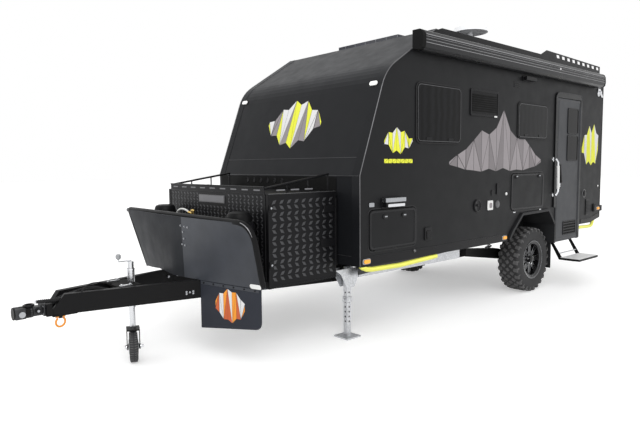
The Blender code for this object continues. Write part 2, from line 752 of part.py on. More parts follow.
def make_leg(name, x, y, stowed):
    """A drop-down stabiliser: a square tube with a foot plate, turned up level under the floor where stowed."""
    half = LEG_TUBE / 2
    foot = LEG_FOOT / 2
    leg = box(x - half, x + half, y - half, y + half, 0.010, LEG_PIVOT_Z + 0.030)
    join(leg, box(x - foot, x + foot, y - foot, y + foot, 0.0, 0.014))
    if stowed:
        turn = Matrix.Rotation(math.radians(-90), 4, "Y")
        pivot = Matrix.Translation((x, 0.0, LEG_PIVOT_Z))
        leg.data.transform(pivot @ turn @ pivot.inverted())
    adopt(leg, name, GALVANISED, axis_empty(f"axis_{name}", (x, y, LEG_PIVOT_Z)))


def make_legs():
    for side, name in ((1, "left"), (-1, "right")):
        make_leg(f"leg_front_{name}", LEG_FRONT_X, side * LEG_FRONT_Y, stowed=False)
        make_leg(f"leg_rear_{name}", LEG_REAR_X, side * LEG_REAR_Y, stowed=True)


def make_tyre():
    """A tyre as rings round its axle, whose tread rows stand out to the lug tips where a lug is."""
    half = TYRE_WIDTH / 2
    groove = TYRE_RADIUS - LUG_DEPTH
    section = [
        (RIM_RADIUS + GAP, -half * 0.72, None),
        (0.300, -half, None),
        (groove - 0.020, -half * 0.96, 0),
        (groove, -half * 0.80, 0),
        (groove, -half * 0.10, 0),
        (groove, half * 0.10, 1),
        (groove, half * 0.80, 1),
        (groove - 0.020, half * 0.96, 1),
        (0.300, half, None),
        (RIM_RADIUS + GAP, half * 0.72, None),
    ]
    work = bmesh.new()
    steps = LUG_COUNT * 4
    rings = []
    for k in range(steps):
        angle = 2 * math.pi * k / steps
        ring = []
        for radius, along, row in section:
            raised = row is not None and ((k + 2 * row) % 4) < 2
            reach = radius + (LUG_DEPTH if raised else 0.0)
            ring.append(work.verts.new((reach * math.cos(angle), along, reach * math.sin(angle))))
        rings.append(ring)
    count = len(section)
    for k, ring in enumerate(rings):
        following = rings[(k + 1) % steps]
        for j in range(count):
            following_j = (j + 1) % count
            work.faces.new((ring[j], ring[following_j], following[following_j], following[j]))
    bmesh.ops.recalc_face_normals(work, faces=work.faces)
    mesh = bpy.data.meshes.new("tyre")
    work.to_mesh(mesh)
    work.free()
    tyre = bpy.data.objects.new("tyre", mesh)
    PARTS.objects.link(tyre)
    tyre.data.transform(Matrix.Translation((0.0, TYRE_OUT_Y - half, TYRE_RADIUS)))
    return tyre


def make_rim():
    """Barrel, spokes and hub of one wheel."""
    half = TYRE_WIDTH / 2 * 0.80
    middle = TYRE_OUT_Y - TYRE_WIDTH / 2
    barrel = on_axle(turned([
        (RIM_RADIUS, half), (RIM_RADIUS, -half), (RIM_RADIUS - RIM_WALL, -half), (RIM_RADIUS - RIM_WALL, half),
    ], 48), (0.0, middle, TYRE_RADIUS))
    hub = cylinder((0.0, HUB_FACE_Y, TYRE_RADIUS), (0.0, HUB_FACE_Y + 0.040, TYRE_RADIUS), 0.075, 24)
    join(hub, cylinder((0.0, HUB_FACE_Y + 0.035, TYRE_RADIUS), (0.0, HUB_FACE_Y + 0.068, TYRE_RADIUS), 0.040, 16))
    for k in range(RIM_SPOKES):
        spoke = side_plate([(0.060, -0.022), (0.060, 0.022), (0.200, 0.032), (0.200, -0.032)],
                           HUB_FACE_Y + 0.006, HUB_FACE_Y + 0.032)
        spoke.data.transform(Matrix.Rotation(2 * math.pi * k / RIM_SPOKES, 4, "Y"))
        spoke.data.transform(Matrix.Translation((0.0, 0.0, TYRE_RADIUS)))
        join(hub, spoke)
    return join(barrel, hub)


def make_wheels():
    tyre = make_tyre()
    rim = make_rim()
    for side, name in ((1, "left"), (-1, "right")):
        axis = axis_empty(f"axis_wheel_{name}", (0.0, side * (TYRE_OUT_Y - TYRE_WIDTH / 2), TYRE_RADIUS))
        this_tyre = tyre if side > 0 else mirrored(tyre)
        this_rim = rim if side > 0 else mirrored(rim)
        adopt(smooth(this_tyre, 40), f"tyre_{name}", RUBBER, axis)
        adopt(smooth(this_rim), f"rim_{name}", RIM_BLACK, axis)


def make_suspension():
    """A trailing arm with its brake drum and stub axle, and the coil spring with its damper."""
    pivot_x, pivot_z = ARM_PIVOT
    half = ARM_DEPTH / 2
    outline = [
        (pivot_x + 0.050, pivot_z - half), (pivot_x + 0.050, pivot_z + half), (0.30, pivot_z - 0.02),
        (-0.07, TYRE_RADIUS + 0.06), (-0.07, TYRE_RADIUS - 0.06), (0.30, TYRE_RADIUS + 0.01),
    ]
    arm = side_plate(outline, ARM_IN_Y, ARM_OUT_Y)
    drum = cylinder((0.0, ARM_OUT_Y - 0.01, TYRE_RADIUS), (0.0, 0.860, TYRE_RADIUS), DRUM_RADIUS, 28)
    stub = cylinder((0.0, 0.850, TYRE_RADIUS), (0.0, HUB_FACE_Y - GAP, TYRE_RADIUS), 0.050, 16)
    seat = box(COIL_X - 0.06, COIL_X + 0.06, 0.560, ARM_IN_Y + 0.01, 0.440, 0.462)
    arm = join(arm, drum, stub, seat)
    spring = coil_spring()
    for side, name in ((1, "left"), (-1, "right")):
        adopt(arm if side > 0 else mirrored(arm), f"trailing_arm_{name}", FRAME_BLACK)
        adopt(spring if side > 0 else mirrored(spring), f"coil_spring_{name}", CHROME)


def coil_spring():
    """The spring and the damper inside it, as one stepped strut between the arm's seat and the rail."""
    bottom = 0.462 + GAP
    top = RAIL_BOTTOM_Z - GAP
    strut = cylinder((COIL_X, COIL_Y, bottom), (COIL_X, COIL_Y, top), 0.026, 12)
    for k in range(4):
        z = bottom + (k + 0.5) * (top - bottom) / 4
        join(strut, cylinder((COIL_X, COIL_Y, z - 0.009), (COIL_X, COIL_Y, z + 0.009), 0.045, 16))
    return strut


def make_step():
    """The entry step, hinged under the door: two bracket arms, a cross tube and a tread."""
    pivot_y, pivot_z = STEP_PIVOT
    arm_low = STEP_TREAD_Z
    frame = None
    for x in (STEP_FRONT_X, STEP_REAR_X):
        outline = [
            (pivot_y - 0.020, pivot_z + 0.010), (pivot_y + 0.020, pivot_z + 0.010),
            (STEP_TREAD_IN_Y + 0.020, arm_low + 0.020), (STEP_TREAD_IN_Y + 0.180, arm_low + 0.020),
            (STEP_TREAD_IN_Y + 0.180, arm_low - 0.004), (STEP_TREAD_IN_Y - 0.020, arm_low - 0.004),
        ]
        arm = front_plate(outline, x - 0.006, x + 0.006)
        frame = arm if frame is None else join(frame, arm)
    tread = box(STEP_REAR_X - 0.020, STEP_FRONT_X + 0.020, STEP_TREAD_IN_Y, STEP_TREAD_IN_Y + STEP_TREAD_DEPTH,
                arm_low, arm_low + 0.026)
    join(frame, tread)
    join(frame, cylinder((STEP_REAR_X, pivot_y, pivot_z), (STEP_FRONT_X, pivot_y, pivot_z), 0.010, 10))
    centre = ((STEP_FRONT_X + STEP_REAR_X) / 2, pivot_y, pivot_z)
    adopt(frame, "entry_step", FRAME_BLACK, axis_empty("axis_entry_step", centre))
    reach = (STEP_REAR_X - 0.030, STEP_FRONT_X + 0.030)
    housing_low = pivot_z + 0.030
    housing_high = pivot_z + 0.140
    housing = box(*reach, RAIL_OUTER_Y + GAP, pivot_y - 0.030, housing_low, housing_high)
    hanger = box(*reach, RAIL_OUTER_Y + GAP, RAIL_OUTER_Y + 0.075, housing_high - 0.010, FLOOR_Z - GAP)
    lug_reach = (centre[0] - 0.080, centre[0] + 0.080)
    lug = box(*lug_reach, pivot_y - 0.050, pivot_y + 0.012, pivot_z + 0.010 + GAP, housing_low + 0.050)
    adopt(join(housing, hanger, lug), "step_mount", FRAME_BLACK)


def make_toolbox():
    """The checker-plate box on the drawbar: a shell open at both sides, with the tray's lip and rails."""
    half = BOX_WIDTH / 2 - BOX_DOOR - SWING_GAP
    shell = box(BOX_REAR_X, BOX_FRONT_X, -half, half, BOX_FLOOR_Z, BOX_TOP_Z)
    cut(shell, box(BOX_REAR_X + BOX_SHEET, BOX_FRONT_X - BOX_SHEET, -half - 0.1, half + 0.1,
                   BOX_FLOOR_Z + BOX_SHEET, BOX_TOP_Z - BOX_SHEET))
    lip = BOX_WIDTH / 2 - TRAY_LIP_INSET
    join(shell, box(BOX_FRONT_X - BOX_SHEET - 0.002, BOX_FRONT_X, -lip, lip, BOX_TOP_Z - 0.01, TRAY_LIP_Z))
    for side in (1, -1):
        y = side * (half - 0.014)
        front = Vector((BOX_FRONT_X - 0.004, y, TRAY_LIP_Z - 0.012))
        rear = Vector((BOX_REAR_X + 0.05, y, TRAY_REAR_Z))
        join(shell, cylinder(front, rear, 0.010, 10))
        for share in (0.33, 0.66, 0.99):
            head = front.lerp(rear, share)
            join(shell, cylinder((head.x, y, BOX_TOP_Z - 0.003), head, 0.007, 8))
        low, high = sorted((side * (half - 0.020), side * (half + 0.004)))
        join(shell, box(BOX_REAR_X - 0.008, BOX_REAR_X + 0.002, low, high, *BOX_HINGE_Z))
        low, high = sorted((side * (half - 0.020), side * (BOX_WIDTH / 2 + 0.006)))
        join(shell, box(BOX_REAR_X - 0.008, BOX_REAR_X - GAP, low, high, *BOX_HINGE_Z))
    adopt(shell, "toolbox", CHECKER)
    for side, name in ((1, "left"), (-1, "right")):
        low, high = sorted((side * (half + SWING_GAP), side * BOX_WIDTH / 2))
        door = box(BOX_REAR_X + SWING_GAP, BOX_FRONT_X, low, high, BOX_DOOR_BOTTOM_Z, BOX_TOP_Z)
        edge = Vector((BOX_REAR_X + SWING_GAP, side * BOX_WIDTH / 2, 0.0))
        join(door, cylinder(edge + Vector((0, 0, BOX_HINGE_Z[0])), edge + Vector((0, 0, BOX_HINGE_Z[1])), BOX_BARREL, 12))
        axis = axis_empty(f"axis_toolbox_door_{name}", edge + Vector((0, 0, 1.0)))
        adopt(door, f"toolbox_door_{name}", CHECKER, axis)


def guard_x(y, z):
    """Where the guard stands: its middle forward, its ends and its lower corners swept back."""
    share = (GUARD_TOP_Z - z) / (GUARD_TOP_Z - GUARD_BOTTOM_Z)
    reach = abs(y) / GUARD_HALF
    return GUARD_X - GUARD_TOP_SWEEP * reach ** 2 - share * GUARD_LOW_SWEEP * reach


def guard_edge():
    """(y, z) up the guard's far side, over its top and down its near side."""
    far_low = (GUARD_FAR_Y[1], GUARD_FAR_BOTTOM_Z)
    far_high = (GUARD_FAR_Y[0], GUARD_TOP_Z)
    near_high = (GUARD_NEAR_Y[0], GUARD_TOP_Z)
    near_low = (GUARD_NEAR_Y[1], GUARD_BOTTOM_Z)
    return (
        [far_low]
        + eased(far_low, far_high, near_high, GUARD_FAR_CORNER, 4)
        + eased(far_high, near_high, near_low, GUARD_NEAR_CORNER)
        + [near_low]
    )


def guard_sheet():
    """The sheet, drawn flat, divided into columns and rows, and bent to its curve."""
    outline = guard_edge() + [(-draw_outer_y(GUARD_X) - 0.060, GUARD_BOTTOM_Z)]
    sheet = front_plate(outline, -GUARD_SHEET / 2, GUARD_SHEET / 2)
    work = bmesh.new()
    work.from_mesh(sheet.data)
    bmesh.ops.dissolve_limit(work, angle_limit=0.01, verts=work.verts, edges=work.edges)
    places = [(Vector((0.0, GUARD_HALF * (2 * k / GUARD_COLUMNS - 1), 0.0)), (0, 1, 0)) for k in range(1, GUARD_COLUMNS)]
    rise = (GUARD_TOP_Z - GUARD_FAR_BOTTOM_Z) / GUARD_ROWS
    places += [(Vector((0.0, 0.0, GUARD_FAR_BOTTOM_Z + rise * k)), (0, 0, 1)) for k in range(1, GUARD_ROWS)]
    for place, normal in places:
        geometry = work.verts[:] + work.edges[:] + work.faces[:]
        bmesh.ops.bisect_plane(work, geom=geometry, dist=0.00001, plane_co=place, plane_no=normal)
    for vert in work.verts:
        vert.co.x += guard_x(vert.co.y, vert.co.z)
    work.to_mesh(sheet.data)
    work.free()
    return sheet


def make_guard():
    """The stone guard: a bent sheet with a tube round its two sides and top, on two stays."""
    sheet = guard_sheet()
    join(sheet, tube([(guard_x(y, z) - 0.012, y, z) for y, z in guard_edge()], GUARD_TUBE, 1))
    for side in (1, -1):
        stay = tube([(STAY[0], side * STAY[1], BOTTLE_BASE_Z), (STAY[0], side * STAY[1], 0.720),
                     (GUARD_X - 0.014, side * STAY[1], 0.860)], 0.014, 1)
        join(sheet, stay)
    cut(sheet, box(GUARD_X - 1.0, GUARD_X + 1.0, 0.0, 2.0, GUARD_BOTTOM_Z - 0.2, GUARD_BOTTOM_Z))
    adopt(smooth(sheet, 30), "stone_guard", FRAME_BLACK)
    near, far = (Vector((guard_x(y, GUARD_BOTTOM_Z), y, 0.0)) for y in FLAP_Y)
    across = (far - near).normalized()
    width = (far - near).length
    top = GUARD_BOTTOM_Z - GAP
    corner = (width, FLAP_BOTTOM_Z[1])
    outline = [(0.0, top), (0.0, FLAP_BOTTOM_Z[0])]
    outline += eased(outline[-1], corner, (width, top), FLAP_CORNER, 4) + [(width, top)]
    flap = side_plate(outline, -FLAP_THICK / 2, FLAP_THICK / 2)
    flap.data.transform(Matrix.Rotation(math.atan2(across.y, across.x), 4, "Z"))
    flap.data.transform(Matrix.Translation(near))
    adopt(flap, "guard_flap", RUBBER)


def make_bottles():
    """Two gas bottles under their hard covers, flat on top with a round shoulder."""
    r = BOTTLE_RADIUS
    shoulder = BOTTLE_SHOULDER
    rim_z = BOTTLE_TOP_Z - BOTTLE_CROWN
    profile = [(0.0, BOTTLE_TOP_Z)]
    for k in range(SHOULDER_STEPS + 1):
        angle = math.pi / 2 * k / SHOULDER_STEPS
        profile.append((r - shoulder + shoulder * math.sin(angle), rim_z - shoulder + shoulder * math.cos(angle)))
    profile += [(r, BOTTLE_BASE_Z + 0.040), (r - 0.030, BOTTLE_BASE_Z), (0.0, BOTTLE_BASE_Z)]
    for y, name in zip(BOTTLE_Y, ("left", "right")):
        bottle = turned(profile, 24, closed=False)
        bottle.data.transform(Matrix.Translation((BOTTLE_X, y, 0.0)))
        adopt(smooth(bottle), f"gas_bottle_{name}", FRAME_BLACK)


def make_side_tubes():
    """The lime tubes under the skirt, their ends cut off where they meet its lower edge."""
    y = SIDE_TUBE_Y
    top = SKIRT_Z - GAP
    front = tube([(3.155, y, 0.738), (3.117, y, 0.703), (3.060, y, 0.680), (2.989, y, 0.670), (2.608, y, 0.661),
                  (2.057, y, top - SIDE_TUBE)], SIDE_TUBE)
    cut(front, box(3.0, 3.3, y - 0.1, y + 0.1, top, top + 0.2))
    post = DOOR_REAR_X - DOOR_POST - GAP
    rear = tube([(post + 0.030, y, 0.716), (-1.424, y, 0.704), (-1.550, y, 0.704), (-1.600, y, 0.722), (-1.650, y, 0.810)],
                SIDE_TUBE)
    kick, low = (Vector(p) - Vector((0.0, GAP)) for p in (REAR_KICK, (REAR_X, REAR_LOW_Z)))
    beyond = [(post + 0.1, DOOR_SILL_Z), (post, DOOR_SILL_Z), (post, kick.y), tuple(kick), tuple(low),
              (low.x, low.y + 0.3), (post + 0.1, low.y + 0.3)]
    cut(rear, side_plate(beyond, y - 0.1, y + 0.1))
    for left, label in ((front, "front"), (rear, "rear")):
        right = mirrored(left)
        adopt(smooth(left), f"side_tube_{label}_left", LIME)
        adopt(smooth(right), f"side_tube_{label}_right", LIME)


def make_side_guards():
    """The galvanised plates that hang from the floor between the stabiliser legs and the wheel arches."""
    top = FLOOR_Z - GAP
    outline = [(SIDE_GUARD_X[0], top), (SIDE_GUARD_X[1], top), (SIDE_GUARD_X[1], SIDE_GUARD_BOTTOM_Z[1]),
               (SIDE_GUARD_X[0], SIDE_GUARD_BOTTOM_Z[0])]
    left = side_plate(outline, SIDE_GUARD_Y, SIDE_GUARD_Y + SIDE_GUARD_THICK)
    right = mirrored(left)
    adopt(left, "side_guard_left", GALVANISED)
    adopt(right, "side_guard_right", GALVANISED)


def make_tank():
    """The water tank's galvanised cradle under the floor, between the axle and the toolbox."""
    front, rear = TANK_X
    top = RAIL_BOTTOM_Z - GAP
    back, rise = TANK_CHAMFER
    outline = [(front, top), (rear, top), (rear, TANK_BOTTOM_Z + rise), (rear + back, TANK_BOTTOM_Z), (front, TANK_BOTTOM_Z)]
    adopt(side_plate(outline, -TANK_HALF, TANK_HALF), "water_tank", GALVANISED)


def make_awning():
    """The awning's case: a boxy section with rounded outer edges."""
    inner = SIDE + GAP
    outer = inner + AWNING_DEPTH
    low = AWNING_BOTTOM_Z
    high = low + AWNING_HEIGHT
    profile = [
        (inner, low + 0.010), (outer - 0.035, low), (outer - 0.008, low + 0.018), (outer, low + 0.060),
        (outer - 0.004, high - 0.045), (outer - 0.022, high - 0.012), (outer - 0.045, high), (inner, high),
    ]
    adopt(front_plate(profile, AWNING[1], AWNING[0]), "awning_case", FRAME_BLACK)


def roof_z(x):
    slope = (ROOF_FRONT[1] - REAR_TOP_Z) / (ROOF_FRONT[0] - REAR_X)
    return REAR_TOP_Z + slope * (x - REAR_X)


def make_roof_fittings():
    """The long plates along both roof edges, the solar panel on its feet and the antenna."""
    front, rear = ROOF_RAIL_X
    outline = [
        (front, roof_z(front) + GAP), (front - ROOF_RAIL_SLANT, ROOF_RAIL_LOW_Z),
        (ROOF_RAIL_STEP_X[0], ROOF_RAIL_LOW_Z), (ROOF_RAIL_STEP_X[1], ROOF_RAIL_HIGH_Z[0]),
        (rear, ROOF_RAIL_HIGH_Z[1]), (rear, roof_z(rear) + GAP),
    ]
    left = side_plate(outline, ROOF_RAIL_Y - ROOF_RAIL_THICK, ROOF_RAIL_Y)
    adopt(left, "roof_rail_left", FRAME_BLACK)
    adopt(mirrored(left), "roof_rail_right", FRAME_BLACK)
    panel = box(SOLAR[1], SOLAR[0], -SOLAR_HALF, SOLAR_HALF, SOLAR_Z - 0.018, SOLAR_Z + 0.018)
    for x in (SOLAR[0] - 0.12, SOLAR[1] + 0.12):
        for y in (SOLAR_HALF - 0.06, -SOLAR_HALF + 0.06):
            foot = box(x - 0.03, x + 0.03, y - 0.02, y + 0.02, roof_z(x + 0.03) + GAP, SOLAR_Z)
            join(panel, foot)
    adopt(panel, "solar_panel", GLASS)
    x, y = ANTENNA
    stem = cylinder((x, y, roof_z(x) + 0.001), (x, y, ANTENNA_Z - 0.04), 0.030, 16)
    base = cylinder((x, y, roof_z(x + 0.06) + GAP), (x, y, roof_z(x) + 0.030), 0.060, 20)
    dish = cylinder((x, y, ANTENNA_Z - 0.05), (x, y, ANTENNA_Z), ANTENNA_RADIUS, 28, ANTENNA_RADIUS * 0.92)
    dome = cylinder((x, y, ANTENNA_Z - 0.001), (x, y, ANTENNA_Z + 0.045), ANTENNA_RADIUS * 0.92, 28, ANTENNA_RADIUS * 0.45)
    adopt(join(stem, base, dish, dome), "antenna", WHITE)


def make_small_fittings():
    """The grab handle, the two lamps and the rear bumper."""
    handle = tube([
        (-0.360, SIDE + GAP, 1.640), (-0.360, SIDE + 0.035, 1.640), (-0.360, SIDE + 0.060, 1.600),
        (-0.375, SIDE + 0.060, 1.240), (-0.375, SIDE + 0.035, 1.190), (-0.375, SIDE + GAP, 1.190),
    ], 0.014, 2)
    adopt(handle, "grab_handle", CHROME)
    for (front, rear, low, high), name in ((PORCH_LAMP, "porch_lamp"), (WORK_LAMP, "work_lamp")):
        adopt(box(rear, front, SIDE + GAP, SIDE + LAMP_DEPTH, low, high), name, WHITE)
    bumper = box(REAR_X - 0.120, REAR_X - 0.060, -BUMPER_HALF, BUMPER_HALF, BUMPER_Z - 0.030, BUMPER_Z + 0.050)
    for side in (1, -1):
        low, high = sorted((side * 0.500, side * 0.600))
        join(bumper, box(REAR_X - 0.070, REAR_X - GAP, low, high, BUMPER_Z - 0.020, BUMPER_Z + 0.040))
    adopt(bumper, "rear_bumper", FRAME_BLACK)


make_walls()
make_shell()
make_windows()
make_hatches()
make_door()
make_arches()
make_chassis()
make_coupling()
make_jockey()
make_legs()
make_wheels()
make_suspension()
make_step()
make_toolbox()
make_guard()
make_bottles()
make_side_tubes()
make_side_guards()
make_tank()
make_awning()
make_roof_fittings()
make_small_fittings()
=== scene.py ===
"""Hybrid caravan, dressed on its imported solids.

Pieces are drawn in the vehicle's own frame, in metres: x is 0 at the axle and runs forwards, y is 0 on
the centre plane and runs to the entry side, z is 0 on the ground. SHIFT takes them to the row's frame.
"""

import math

import bmesh
import bpy
from mathutils import Matrix, Vector


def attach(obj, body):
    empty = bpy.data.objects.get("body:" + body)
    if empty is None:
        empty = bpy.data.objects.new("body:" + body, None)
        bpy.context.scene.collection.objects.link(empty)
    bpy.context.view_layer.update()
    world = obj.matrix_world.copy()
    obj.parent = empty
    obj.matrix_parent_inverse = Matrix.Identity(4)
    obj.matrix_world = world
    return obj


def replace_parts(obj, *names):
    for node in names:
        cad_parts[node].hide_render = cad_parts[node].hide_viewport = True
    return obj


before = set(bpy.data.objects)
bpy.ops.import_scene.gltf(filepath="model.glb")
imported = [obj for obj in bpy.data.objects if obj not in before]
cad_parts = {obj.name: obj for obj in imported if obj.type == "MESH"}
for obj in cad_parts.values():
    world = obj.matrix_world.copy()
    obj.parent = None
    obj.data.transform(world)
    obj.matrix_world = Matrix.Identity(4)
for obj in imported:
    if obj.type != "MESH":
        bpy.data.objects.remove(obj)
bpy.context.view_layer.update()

SHIFT = Vector((-1.82, -0.13, 0.0))
ROOT = "caravan"
SIDES = ((1, "left"), (-1, "right"))
X_AXIS, Y_AXIS, Z_AXIS = (1, 0, 0), (0, 1, 0), (0, 0, 1)

# Camera, in the row's frame
CAMERA_PLACE = Vector((4.8069, 4.2964, 1.5851))
CAMERA_YAW = math.radians(227.885)
CAMERA_PITCH = math.radians(-4.8028)
CAMERA_ROLL = math.radians(-0.4392)
CAMERA_LENS = 31.805
FLOOR_LIFT = 0.39
PRINT_DEPTH = 0.0009

# Faces and outlines that several pieces share
SIDE = 1.095
REAR_X = -1.824
NOSE_FOOT = Vector((3.155, 0.0, 0.712))
NOSE_BREAK = Vector((3.155, 0.0, 1.498))
NOSE_KNEE = Vector((2.824, 0.0, 2.417))
ROOF_FRONT = Vector((2.107, 0.0, 2.872))
KNEE_TANGENT = 0.150
CLEARANCE_LAMPS = (0.99, -0.99)
AWNING_Z = (2.625, 2.805)
AWNING_X = (-1.545, 2.420)
AWNING_INNER = SIDE + 0.0003
AWNING_OUTER = AWNING_INNER + 0.125
TOOLBOX_HALF = 0.8275
TOOLBOX_FRONT = 3.930
DOOR_FACE = 0.0098
FLAP_SPAN = (0.342, 0.990)
GUARD_TOP, GUARD_LOW, GUARD_HALF = 1.165, 0.652, 1.070
GUARD_BOLTS = [(0.140, 1.092), (0.200, 1.088), (0.245, 1.084), (0.170, 1.040), (0.180, 0.985),
               (0.150, 0.935),
               (0.190, 0.930)]
AXLE_Z = 0.400
TYRE_WIDTH = 0.267
OPENINGS = {
    "window_front": (2.397, 1.692, 1.799, 2.344),
    "window_rear": (0.542, -0.146, 1.888, 2.286),
    "vent": (1.508, 0.992, 2.103, 2.353),
    "picnic": (0.679, -0.099, 1.043, 1.480),
    "boot": (3.051, 2.398, 0.833, 1.197),
}


# Materials

DUST = (0.20, 0.19, 0.18)
# Pale bluish tone of the painted light from above: a painted reflection of the bright surround on upward
# faces
UPWARD_LIGHT_TONE = (0.42, 0.44, 0.48)
PAINT = (0.010, 0.010, 0.011)


def grey(value):
    return (value, value, value)


def scaled(colour, factor):
    return tuple(min(1.0, channel * factor) for channel in colour)


class Look:
    """A material under way: its nodes, its shader and the place on the object."""

    def __init__(self, name):
        name += "_look"
        self.material = bpy.data.materials.get(name) or bpy.data.materials.new(name)
        self.material.use_nodes = True
        self.tree = self.material.node_tree
        self.shader = self.tree.nodes["Principled BSDF"]
        self.place = self.tree.nodes.new("ShaderNodeTexCoord").outputs["Object"]

    def fill(self, socket, value):
        if isinstance(value, bpy.types.NodeSocket):
            self.tree.links.new(value, socket)
        else:
            socket.default_value = value

    def node(self, kind, **inputs):
        """A node with its inputs filled, each called by its name or, as _0, by its number."""
        made = self.tree.nodes.new(kind)
        for name, value in inputs.items():
            self.fill(made.inputs[int(name[1:]) if name.startswith("_") else name.replace("_", " ")], value)
        return made

    def math(self, operation, *values):
        made = self.tree.nodes.new("ShaderNodeMath")
        made.operation = operation
        for socket, value in zip(made.inputs, values):
            self.fill(socket, value)
        return made.outputs[0]

    def times(self, first, second):
        return self.math("MULTIPLY", first, second)

    def parts(self, vector):
        return self.node("ShaderNodeSeparateXYZ", Vector=vector).outputs

    def noise(self, scale, detail, rough):
        made = self.node("ShaderNodeTexNoise", Vector=self.place, Scale=scale, Detail=detail,
                         Roughness=rough)
        return made.outputs[0]

    def ramp(self, factor, *stops):
        """A colour ramp through (position, colour) stops."""
        made = self.tree.nodes.new("ShaderNodeValToRGB")
        self.fill(made.inputs[0], factor)
        elements = made.color_ramp.elements
        while len(elements) < len(stops):
            elements.new(0.5)
        for element, (position, colour) in zip(elements, stops):
            element.position = position
            element.color = (*colour, 1.0)
        return made.outputs[0]

    def mix(self, share, tone, colour):
        """A tone that gives way to a colour where the share is high."""
        made = self.node("ShaderNodeMix", _0=share, _6=tone, _7=(*colour, 1.0))
        made.data_type = "RGBA"
        return made.outputs[2]

    def bump(self, height, strength):
        return self.node("ShaderNodeBump", Strength=strength, Distance=0.001, Height=height).outputs[0]

    def low_dust(self, amount):
        """How much dust lies low down, in patches."""
        height = self.times(self.parts(self.place)[2], 1.1)
        low = self.math("SUBTRACT", 1.0, self.math("MINIMUM", 1.0, height))
        return self.times(self.times(low, self.noise(9.0, 6.0, 0.7)), amount)

    def upward_light_share(self, amount):
        """How much painted light from above, a pale sheen, shows where the surface looks up."""
        upward = self.parts(self.node("ShaderNodeNewGeometry").outputs["Normal"])[2]
        level = self.ramp(upward, (0.40, grey(0.0)), (0.88, grey(1.0)))
        return self.times(self.times(level, self.noise(2.2, 5.0, 0.6)), 2.0 * amount)

    def finish(self, **inputs):
        """Fills the shader's inputs and hands over the material."""
        for name, value in inputs.items():
            self.fill(self.shader.inputs[name.replace("_", " ")], value)
        return self.material


def painted(name, colour, rough, metal=0.0, coat=0.0, grain=500.0, bump=0.04, blotch=1.6, spread=0.12,
            dust=0.0, upward_light=0.0, specular=0.5):
    """A coated or moulded surface: slow colour drift, fine grain, uneven gloss, dust low down,
    and painted light on top where the surface looks up.
    """
    look = Look(name)
    tone = look.ramp(look.noise(blotch, 5.0, 0.6), (0.30, scaled(colour, 1.0 - spread)),
                     (0.70, scaled(colour, 1.0 + spread)))
    if dust:
        tone = look.mix(look.low_dust(dust), tone, DUST)
    # Painted light: a paler bluish tone where the surface looks up, in place of light from above
    if upward_light:
        tone = look.mix(look.upward_light_share(upward_light), tone, UPWARD_LIGHT_TONE)
    gloss = look.ramp(look.noise(7.0, 4.0, 0.55), (0.25, grey(max(0.02, rough - 0.06))),
                      (0.75, grey(min(1.0, rough + 0.07))))
    return look.finish(Base_Color=tone, Metallic=metal, Coat_Weight=coat, Coat_Roughness=0.12,
                       Specular_IOR_Level=specular, Roughness=gloss,
                       Normal=look.bump(look.noise(grain, 2.0, 0.5), bump))


def zinc(name, rough, paint=None):
    """Galvanised steel with its crystal patches, painted dark above a sloping line where one is given."""
    look = Look(name)
    colour = (0.60, 0.61, 0.63)
    metal = 0.85
    crystals = look.node("ShaderNodeTexVoronoi", Vector=look.place, Scale=70.0).outputs["Distance"]
    patch = look.noise(14.0, 5.0, 0.6)
    relief = look.math("ADD", look.times(crystals, 0.5), look.times(patch, 0.6))
    tone = look.ramp(relief, (0.25, scaled(colour, 0.72)), (0.75, scaled(colour, 1.15)))
    if paint is not None:
        level, slope = paint
        parts = look.parts(look.place)
        above = look.math("GREATER_THAN", parts[2], look.math("ADD", look.times(parts[0], slope), level))
        tone = look.mix(above, tone, PAINT)
        metal = look.math("SUBTRACT", metal, look.times(above, metal))
    gloss = look.ramp(patch, (0.3, grey(rough - 0.08)), (0.7, grey(rough + 0.10)))
    return look.finish(Base_Color=tone, Metallic=metal, Roughness=gloss, Normal=look.bump(relief, 0.08))


def bright(name, colour, rough):
    """Polished or brushed metal with faint marks."""
    look = Look(name)
    marks = look.noise(60.0, 6.0, 0.65)
    return look.finish(Base_Color=look.ramp(marks, (0.3, scaled(colour, 0.85)), (0.7, colour)),
                       Roughness=look.ramp(marks, (0.3, grey(rough * 0.7)), (0.7, grey(rough * 1.4))),
                       Metallic=1.0)


def tyre_rubber(name, colour):
    """Rubber with a fine grain and pale dusty patches."""
    look = Look(name)
    tone = look.ramp(look.noise(11.0, 7.0, 0.7), (0.25, scaled(colour, 0.75)), (0.60, colour),
                     (0.85, scaled(colour, 1.7)))
    return look.finish(Base_Color=tone, Roughness=0.72, Specular_IOR_Level=0.35,
                       Normal=look.bump(look.noise(420.0, 3.0, 0.6), 0.16))


def pane(name, colour, pleats):
    """Dark tinted acrylic, with a faint pleated blind behind it."""
    look = Look(name)
    wobble = look.noise(5.0, 3.0, 0.5)
    along = look.math("ADD", look.times(look.parts(look.place)[0], 62.0), look.times(wobble, 9.0))
    fold = look.times(look.math("ADD", look.math("SINE", along), 1.0), 0.5)
    tone = look.ramp(look.times(fold, wobble), (0.05, scaled(colour, 0.6)),
                     (0.75, scaled(colour, 1.0 + pleats)))
    return look.finish(Base_Color=tone, Roughness=0.07, Specular_IOR_Level=0.12)


def solar_cells(name, colour):
    """Solar cells with thin pale lines between them."""
    look = Look(name)
    brick = look.node("ShaderNodeTexBrick", Vector=look.place, Color1=(*colour, 1.0),
                      Color2=(*scaled(colour, 1.3), 1.0), Mortar=(0.30, 0.31, 0.33, 1.0), Scale=1.0,
                      Mortar_Size=0.0018, Brick_Width=0.156, Row_Height=0.156)
    brick.offset = 0.0
    return look.finish(Base_Color=brick.outputs[0], Roughness=0.10)


